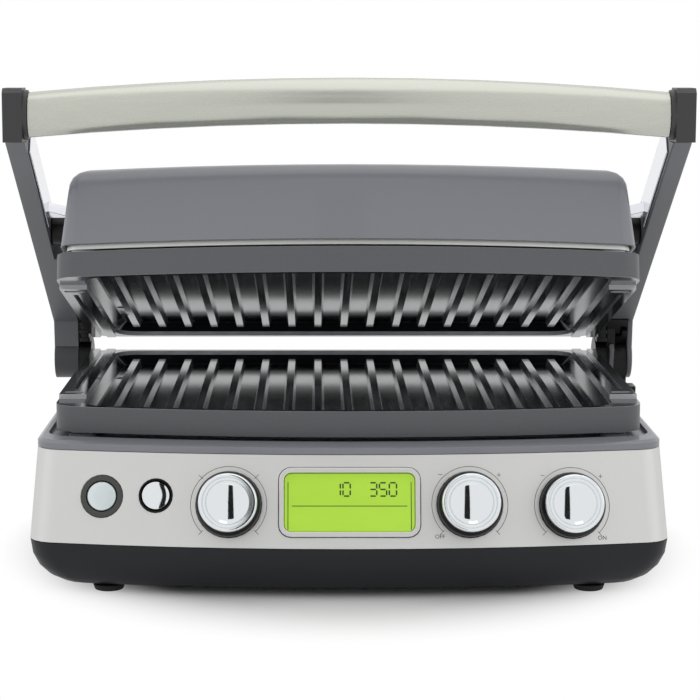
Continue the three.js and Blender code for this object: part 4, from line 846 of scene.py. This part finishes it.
@dataclass
class Arms:
    """The two arms with the handle between them.

    Attributes:
        moulded: Rounding of the arms' edges.
        trim: Rounding of sheet and cam edges.
        block: Rounding of the handle blocks.
        stud: Rounding of the pivot studs.
    """

    moulded: float = 1.4 * MM
    trim: float = 0.2 * MM
    block: float = 2.4 * MM
    stud: float = 0.7 * MM

    def build(self) -> None:
        """Dresses the arms and the handle."""
        for hand in HANDS:
            dress(f"{hand}_arm", self.moulded, 3)
            dress(f"{hand}_arm_trim", self.trim, 1, STRIP)
            dress(f"{hand}_handle_block", self.block, 4, CHARCOAL_ABS)
            dress(f"{hand}_pivot_stud", self.stud)
        dress("left_hinge_barrel", self.moulded, 3, BARREL)
        dress("right_hinge_cam", self.trim)
        dress("handle_tube", 0)


@dataclass
class Knob:
    """A dark skirt with a stepped chrome cap.

    Attributes:
        name: The knob's name.
        ticks: Clock angles in degrees where its printed arc has a tick.
        word: The generic word printed beside it.
        side: -1 where the word stands to the left, 1 to the right.
        cap: Radius of the cap.
        skirt: Radius of the skirt.
        skirt_front: Height of the skirt's front.
        skirt_bends: Where the skirt draws in: how far, and at what share of its height.
        lap: How far the skirt reaches under the cap, as a share of the cap's radius.
        gap: Distance from the skirt to the cap.
        foot: Slope at the foot of the cap's wall.
        front: Height of the cap's front.
        rim: Rounding of the cap's rim as a share of its radius.
        grooves: Radii of the grooves as shares of the cap's radius.
        groove: Half the width of a groove.
        groove_bends: A groove's profile, outwards and down, in half widths.
        disc: Radius of the crowned disc as a share of the cap's radius.
        disc_foot: Where the disc rises, outwards and down, in half widths of a groove.
        dome: Radius of the disc's crown.
        sink: How far the skirt stands into the panel's hole.
        shaft: Radius of the shaft's socket.
        root: How deep the shaft's socket reaches.
    """

    name: str
    ticks: tuple[float, ...]
    word: str = ""
    side: int = 0
    cap: float = 15.9 * MM
    skirt: float = 17.7 * MM
    skirt_front: float = 8.0 * MM
    skirt_bends: tuple[Pair, ...] = ((0, 0.6), (0.5 * MM, 0.8), (1.2 * MM, 0.93))
    lap: float = 0.9
    gap: float = 0.2 * MM
    foot: float = 0.4 * MM
    front: float = 15.3 * MM
    rim: float = 0.08
    grooves: tuple[float, ...] = (0.86, 0.74)
    groove: float = 0.32 * MM
    groove_bends: tuple[Pair, ...] = ((1, 0), (0.4, 1), (-0.4, 1), (-1, 0))
    disc: float = 0.62
    disc_foot: Pair = (0.5, 1.5)
    dome: float = 47 * MM
    sink: float = -3.0 * MM
    shaft: float = 3.0 * MM
    root: float = -14.0 * MM

    @property
    def spot(self) -> Vector:
        """Returns the place of the knob's joint."""
        return Vector(JOINTS[f"{self.name}_knob_turn"]["pos_m"])

    def build(self) -> None:
        """Models the skirt with its socket, and the cap."""
        body = f"{self.name}_knob"
        high = self.skirt_front
        steps = [(self.skirt, self.sink)]
        steps += [(self.skirt - inwards, high * share) for inwards, share in self.skirt_bends]
        steps += [(self.cap, high), (self.cap * self.lap, high)]
        socket = [(self.shaft, self.root), (self.shaft, self.sink)]
        skirt = join(turned(steps), turned(socket, SHAFT_SIDES))
        place = Matrix.Translation(self.spot) @ PANEL.to_3x3().to_4x4()
        soften(settle(skirt, place), 0)
        fit(skirt, f"{body}_skirt_turned", body, BLACK_ABS, "black_plastic", f"{body}_skirt")
        cap = turned(self.cap_steps())
        soften(settle(cap, place), 0)
        fit(cap, f"{body}_cap_turned", body, CHROME, "chrome", f"{body}_cap")

    def cap_steps(self) -> list[Pair]:
        """Lays out the cap's profile: wall, rounded rim, grooves and a crowned disc.

        Returns:
            Radius and height of each step.
        """
        wall = self.skirt_front + self.gap
        flat = self.front - self.groove * 2
        bend = self.cap * self.rim
        steps = [(self.cap - self.foot, wall), (self.cap, wall + self.foot)]
        for i in range(CURVE + 1):
            turn = math.pi / 2 * i / CURVE
            radius = self.cap - bend * (1 - math.cos(turn))
            steps.append((radius, flat - bend * (1 - math.sin(turn))))
        for share in self.grooves:
            for along, down in self.groove_bends:
                radius = self.cap * share + self.groove * along
                steps.append((radius, flat - self.groove * down))
        disc = self.cap * self.disc
        along, down = self.disc_foot
        steps.append((disc + self.groove * along, flat - self.groove * down))
        for i in range(CURVE):
            radius = disc * (1 - i / CURVE)
            fall = self.dome - math.sqrt(self.dome**2 - radius**2)
            steps.append((radius, self.front - fall))
        steps.append((TIP, self.front))
        return steps


@dataclass
class PushButton:
    """A chrome push button in its ring.

    Attributes:
        name: The button's name.
        cap: Radius of the button.
        look: Its finish.
        ring: Its ring's finish.
        ring_edge: Rounding of the ring's edges.
        top: How far it stands out of the panel.
        walls: Where its wall bends: shares of its radius, and depths under its top.
        crowned: Share of its radius that is crowned.
        crown: Height of the crown.
        bend: How late the crown falls off towards the edge.
        root: How deep its body reaches.
        stem: Radius of its stem, which reaches as deep as the CAD node.
    """

    name: str
    cap: float
    look: Finish
    ring: Finish
    ring_edge: float = 0.25 * MM
    top: float = 1.3 * MM
    walls: tuple[Pair, ...] = ((1.0, 1.4 * MM), (0.97, 0.8 * MM))
    crowned: float = 0.92
    crown: float = 0.36 * MM
    bend: float = 3.2
    root: float = -5.0 * MM
    stem: float = 2.5 * MM

    def build(self) -> None:
        """Models the button and dresses its ring."""
        body = f"{self.name}_button"
        low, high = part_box(f"{body}_ring")
        middle = PANEL.inverted() @ ((low + high) / 2)
        place = on_panel(middle.x, middle.y)
        steps = [(self.cap, self.root)]
        steps += [(self.cap * share, self.top - depth) for share, depth in self.walls]
        for i in range(CURVE):
            share = 1 - i / CURVE
            fall = self.crown * share**self.bend
            steps.append((self.cap * self.crowned * share, self.top - fall))
        steps.append((TIP, self.top))
        stem = [(self.stem, min(heights(body, place))), (self.stem, self.root)]
        button = join(turned(steps), turned(stem, SHAFT_SIDES))
        soften(settle(button, place), 0)
        fit(button, f"{body}_turned", body, self.look, "chrome", body)
        dress(f"{body}_ring", self.ring_edge, look=self.ring)


# Which bars of a seven-bar numeral are dark: a at the top, then clockwise, g in the middle
NUMERALS = {"0": "abcdef", "1": "bc", "3": "abcdg", "5": "acdfg"}
UPRIGHT_BARS = "bcef"


@dataclass
class Display:
    """The display: steel surround, backlit window, and the film with its numbers and rules.

    Attributes:
        surround: Rounding of the surround's edges.
        film: Thickness of the film.
        numbers: Each number and the left edge of its first digit.
        tall: Height of a number.
        wide: Width of a number.
        stroke: Width of a bar.
        point: How far a bar's corners are cut, as a share of its width.
        pitch: Distance between two numbers.
        line: Lower edge of the numbers.
        rule: Width of the rules.
        half: Distance of the upright rules from the middle.
        length: Length of the upright rules.
        level: Length of the level rule.
        lower: Height of the rules' middle.
    """

    surround: float = 0.5 * MM
    film: float = 0.12 * MM
    numbers: tuple[tuple[str, float], ...] = (("10", -8.9 * MM), ("350", 10.8 * MM))
    tall: float = 7.2 * MM
    wide: float = 3.9 * MM
    stroke: float = 0.8 * MM
    point: float = 0.4
    pitch: float = 5.35 * MM
    line: float = 3.5 * MM
    rule: float = 0.4 * MM
    half: float = 33.3 * MM
    length: float = 26.0 * MM
    level: float = 62.604 * MM
    lower: float = -1.9 * MM

    def build(self) -> None:
        """Dresses the surround and the window and lays the film."""
        dress("display_frame", self.surround, 3)
        dress("display_window", 0)
        bars = [bar for digits, x in self.numbers for bar in self.number(digits, x)]
        for x in (-self.half, self.half):
            bars.append(self.bar(x, self.lower, self.length, self.rule, True))
        bars.append(self.bar(0, self.lower, self.level, self.rule, False))
        face = max(heights("display_window", PANEL))
        film = settle(join(*bars), PANEL @ Matrix.Translation((0, 0, face)))
        fit(film, "display_film", "base", SEGMENT, "black_plastic")

    def bar(
        self, x: float, y: float, length: float, width: float, upright: bool
    ) -> Piece:
        """Lays one bar with pointed ends.

        Args:
            x: Its middle across.
            y: Its middle up the slope.
            length: Its length.
            width: Its width.
            upright: Whether it stands.

        Returns:
            The bar, in the panel's frame.
        """
        size = (width, length) if upright else (length, width)
        piece = slab(*size, width * self.point, 0, self.film)
        return settle(piece, Matrix.Translation((x, y, 0)))

    def number(self, digits: str, x: float) -> list[Piece]:
        """Lays the bars of a number.

        Args:
            digits: The number.
            x: Left edge of its first digit.

        Returns:
            The bars.
        """
        middle, half = self.wide / 2, self.tall / 2
        low, high = half / 2, half * 1.5
        places = {
            "a": (middle, self.tall),
            "g": (middle, half),
            "d": (middle, 0),
            "f": (0, high),
            "b": (self.wide, high),
            "e": (0, low),
            "c": (self.wide, low),
        }
        bars = []
        for i, digit in enumerate(digits):
            left = x + i * self.pitch
            for name in NUMERALS[digit]:
                across, up = places[name]
                upright = name in UPRIGHT_BARS
                length = (half if upright else self.wide) - self.stroke
                bars.append(self.bar(left + across, self.line + up, length, self.stroke, upright))
        return bars


@dataclass
class PanelPrint:
    """What is printed on the panel round the dials: arcs, ticks, minus, plus, OFF and ON.

    Attributes:
        radius: Radius of the arcs.
        sides: Faces of a full circle.
        sweep: How far an arc reaches to each side of the top, in degrees.
        line: Width of a printed line.
        tick: Length of a tick.
        tick_at: Distance of a tick's middle from the dial's axis.
        sign: Length of the minus and of the plus.
        sign_at: Distance of a sign from the dial's axis, across and up.
        letters: Size of the letters.
        word_at: Distance of a word's middle from the dial's axis, across and down.
        lift: Height from which the print is pressed onto the panel.
        ink: Thickness of the ink.
    """

    radius: float = 20.7 * MM
    sides: int = 144
    sweep: float = 135
    line: float = 0.26 * MM
    tick: float = 3.3 * MM
    tick_at: float = 21.35 * MM
    sign: float = 2.3 * MM
    sign_at: Pair = (16.0 * MM, 16.2 * MM)
    letters: float = 3.1 * MM
    word_at: Pair = (16.4 * MM, 18.4 * MM)
    lift: float = 4.0 * MM
    ink: float = 0.05 * MM

    def build(self, knobs: list[Knob]) -> None:
        """Prints the marks of every dial.

        Args:
            knobs: The dials.
        """
        marks = []
        for knob in knobs:
            middle = PANEL.inverted() @ knob.spot
            place = Matrix.Translation((middle.x, middle.y, 0))
            dial = [self.arc()] + [self.line_at(clock) for clock in knob.ticks]
            if knob.word:
                dial += self.signs() + [self.text(knob.word, knob.side)]
            marks += [settle(mark, place) for mark in dial]
        ink = join(*marks)
        ink.matrix_basis = PANEL
        modify(
            ink,
            "SHRINKWRAP",
            target=bpy.data.objects["front_panel_dressed"],
            wrap_method="PROJECT",
            wrap_mode="ABOVE_SURFACE",
            use_project_z=True,
            use_positive_direction=False,
            use_negative_direction=True,
            offset=self.ink,
        )
        settle(ink)
        modify(ink, "SOLIDIFY", thickness=self.ink, offset=-1)
        fit(ink, "panel_print", "base", INK, "black_plastic")

    def arc(self) -> Piece:
        """Makes a thin flat arc: a ring whose lower faces are taken away.

        Returns:
            The arc.
        """
        outer = self.radius + self.line / 2
        share = 1 - self.line / outer
        sweep = math.radians(self.sweep)
        bpy.ops.mesh.primitive_circle_add(
            vertices=self.sides, radius=outer, location=(0, 0, self.lift)
        )
        ring = bpy.context.object
        with editing(ring):
            extrude(0, (share, share))
            choose(ring, lambda face: abs(math.atan2(*face.calc_center_median().xy)) > sweep)
            bpy.ops.mesh.delete(type="FACE")
        return settle(ring)

    def stroke(self, x: float, y: float, length: float, turn: float) -> Piece:
        """Makes one flat printed stroke.

        Args:
            x: Its middle across.
            y: Its middle up.
            length: Its length.
            turn: Clock angle of its direction in degrees.

        Returns:
            The stroke.
        """
        place = Matrix.Translation((x, y, self.lift))
        return rectangle(self.line, length, place @ Matrix.Rotation(math.radians(-turn), 4, "Z"))

    def line_at(self, clock: float) -> Piece:
        """Returns the tick at a clock angle in degrees."""
        across, up = math.sin(math.radians(clock)), math.cos(math.radians(clock))
        return self.stroke(self.tick_at * across, self.tick_at * up, self.tick, clock)

    def signs(self) -> list[Piece]:
        """Makes the minus and the plus beside a dial.

        Returns:
            Their strokes.
        """
        across, up = self.sign_at
        strokes = ((-across, 90), (across, 0), (across, 90))
        return [self.stroke(x, up, self.sign, turn) for x, turn in strokes]

    def text(self, word: str, side: int) -> Piece:
        """Makes a word as a flat mesh.

        Args:
            word: ON or OFF.
            side: -1 where it stands to the left of the dial, 1 to the right.

        Returns:
            The word.
        """
        across, down = self.word_at
        bpy.ops.object.text_add(location=(0, 0, 0))
        piece = bpy.context.object
        piece.data.body = word
        piece.data.size = self.letters
        piece.data.align_x = "CENTER"
        take(piece)
        bpy.ops.object.convert(target="MESH")
        place = Matrix.Translation((side * across, -down, self.lift))
        return settle(bpy.context.object, place)


# The studio


@dataclass(frozen=True)
class Softbox:
    """A square soft lamp.

    Attributes:
        name: Its name.
        spot: Its place.
        target: The point it faces.
        size: Its side.
        watts: Its power.
    """

    name: str
    spot: Triple
    target: Triple
    size: float
    watts: float

    def build(self) -> None:
        """Hangs the lamp."""
        light = bpy.data.lights.new(self.name, "AREA")
        light.size = self.size
        light.energy = self.watts
        holder = bpy.data.objects.new(self.name, light)
        holder.location = self.spot
        aim = Vector(self.target) - Vector(self.spot)
        holder.rotation_euler = aim.to_track_quat("-Z", "Y").to_euler()
        bpy.context.scene.collection.objects.link(holder)


@dataclass
class Studio:
    """A pale floor, white surroundings, soft lamps, a dark card and the camera.

    Attributes:
        lens: Focal length in mm.
        sensor: Width of the camera's sensor in mm.
        pitch: How far the camera looks down.
        shift: Sideways shift of its lens.
        eye: Its place.
        ambient: Strength of the surroundings as a light.
        mirrored: Their strength in a mirror.
        paper: Colour of the floor.
        floor_side: Side of the floor.
        spread: Half axes of the oval in which the floor shows its shadow.
        fade: Where the floor starts and ends to fade to white, in shares of that oval.
        lamps: The soft lamps.
        card_at: Place of the dark card.
        card_size: Its width and height.
    """

    lens: float = 110.9
    sensor: float = 36
    pitch: float = math.radians(8.13)
    shift: float = 0.05
    eye: Triple = (-18.7 * MM, -1278.5 * MM, 299.06 * MM)
    ambient: float = 0.68
    mirrored: float = 1.0
    paper: str = "f2f2f2"
    floor_side: float = 12
    spread: Triple = (158 * MM, 172 * MM, 1.0)
    fade: Pair = (0.9, 1.35)
    lamps: tuple[Softbox, ...] = (
        Softbox("top_softbox", (0.1, -0.1, 1.5), (0.0, 0.0, 0.1), 1.6, 4.5),
        Softbox("left_softbox", (-1.85, -0.6, 0.9), (0.0, 0.0, 0.15), 1.1, 1.0),
        Softbox("right_softbox", (1.85, -0.6, 0.9), (0.0, 0.0, 0.15), 1.1, 1.3),
    )
    card_at: Triple = (0.0, -1.75, 0.87)
    card_size: Pair = (0.22, 1.75)

    def build(self) -> None:
        """Sets up the floor, the world, the lamps, the card and the camera."""
        self.floor()
        self.world()
        for lamp in self.lamps:
            lamp.build()
        self.card()
        self.camera()

    def camera(self) -> None:
        """Places the camera, with plain colours."""
        camera = bpy.data.cameras.new("camera")
        camera.lens = self.lens
        camera.sensor_width = self.sensor
        camera.shift_x = self.shift
        holder = bpy.data.objects.new("camera", camera)
        holder.location = self.eye
        holder.rotation_euler = (math.radians(90) - self.pitch, 0, 0)
        bpy.context.scene.collection.objects.link(holder)
        bpy.context.scene.camera = holder
        bpy.context.scene.view_settings.view_transform = "Standard"

    def card(self) -> None:
        """Stands a dark card behind the camera, for the polished pieces to mirror."""
        upright = (math.radians(90), 0, 0)
        bpy.ops.mesh.primitive_plane_add(size=1, location=self.card_at, rotation=upright)
        card = bpy.context.object
        card.scale = (*self.card_size, 1)
        card.name = "dark_card"
        finish(card, FELT)
        card.visible_camera = False
        card.visible_diffuse = False
        card.visible_shadow = False

    def floor(self) -> None:
        """Lays the pale floor, which keeps the grill's shadow and fades to plain white round it."""
        bpy.ops.mesh.primitive_plane_add(size=self.floor_side)
        floor = bpy.context.object
        floor.name = "studio_floor"
        material = bpy.data.materials.new("studio_floor_paper")
        material.use_nodes = True
        tree = material.node_tree
        tree.nodes.clear()
        rays = add_node(tree, "LightPath").outputs
        place = add_node(tree, "TexCoord").outputs["Object"]
        share = add_node(tree, "VectorMath", {0: place, 1: self.spread}, operation="DIVIDE")
        reach = add_node(tree, "VectorMath", {0: share.outputs[0]}, operation="LENGTH")
        start, end = self.fade
        span = {"Value": reach.outputs["Value"], "From Min": start, "From Max": end}
        fade = add_node(tree, "MapRange", span, interpolation_type="SMOOTHSTEP").outputs["Result"]
        paper = add_node(tree, "BsdfDiffuse", {"Color": linear(self.paper)}).outputs[0]
        white = add_node(tree, "Emission", {"Color": linear("ffffff"), "Strength": 1.0}).outputs[0]
        faded = add_node(tree, "MixShader", {0: fade, 1: paper, 2: white}).outputs[0]
        sight = {0: rays["Is Camera Ray"], 1: rays["Is Glossy Ray"]}
        seen = add_node(tree, "Math", sight, operation="MAXIMUM").outputs[0]
        surface = add_node(tree, "MixShader", {0: seen, 1: paper, 2: faded}).outputs[0]
        add_node(tree, "OutputMaterial", {"Surface": surface})
        floor.data.materials.append(material)

    def world(self) -> None:
        """Makes the surroundings white where they are seen or mirrored, and dimmer as a light."""
        world = bpy.data.worlds.new("studio")
        bpy.context.scene.world = world
        world.use_nodes = True
        tree = world.node_tree
        tree.nodes.clear()
        rays = add_node(tree, "LightPath").outputs
        span = {"Value": rays["Is Glossy Ray"], "To Min": self.ambient, "To Max": self.mirrored}
        unseen = add_node(tree, "MapRange", span).outputs["Result"]
        span = {"Value": rays["Is Camera Ray"], "To Min": unseen, "To Max": 1.0}
        strength = add_node(tree, "MapRange", span).outputs["Result"]
        light = add_node(tree, "Background", {"Color": linear("ffffff"), "Strength": strength})
        add_node(tree, "OutputWorld", {"Surface": light.outputs[0]})


def main() -> None:
    """Builds the grill's assemblies and the studio."""
    Base().build()
    Plates().build()
    Lid().build()
    Arms().build()
    knobs = [
        Knob("plate", (-135, -45, 45, 135)),
        Knob("temperature", (-135, 135), "OFF", -1),
        Knob("time", (-135, 135), "ON", 1),
    ]
    for knob in knobs:
        knob.build()
    PushButton("start", 8.2 * MM, CHROME_SATIN, GREY_ABS).build()
    PushButton("sear", 8 * MM, CHROME, BLACK_ABS).build()
    Display().build()
    PanelPrint().build(knobs)
    Studio().build()


if __name__ == "__main__":
    logging.basicConfig(level=logging.INFO, format="%(message)s")
    main()
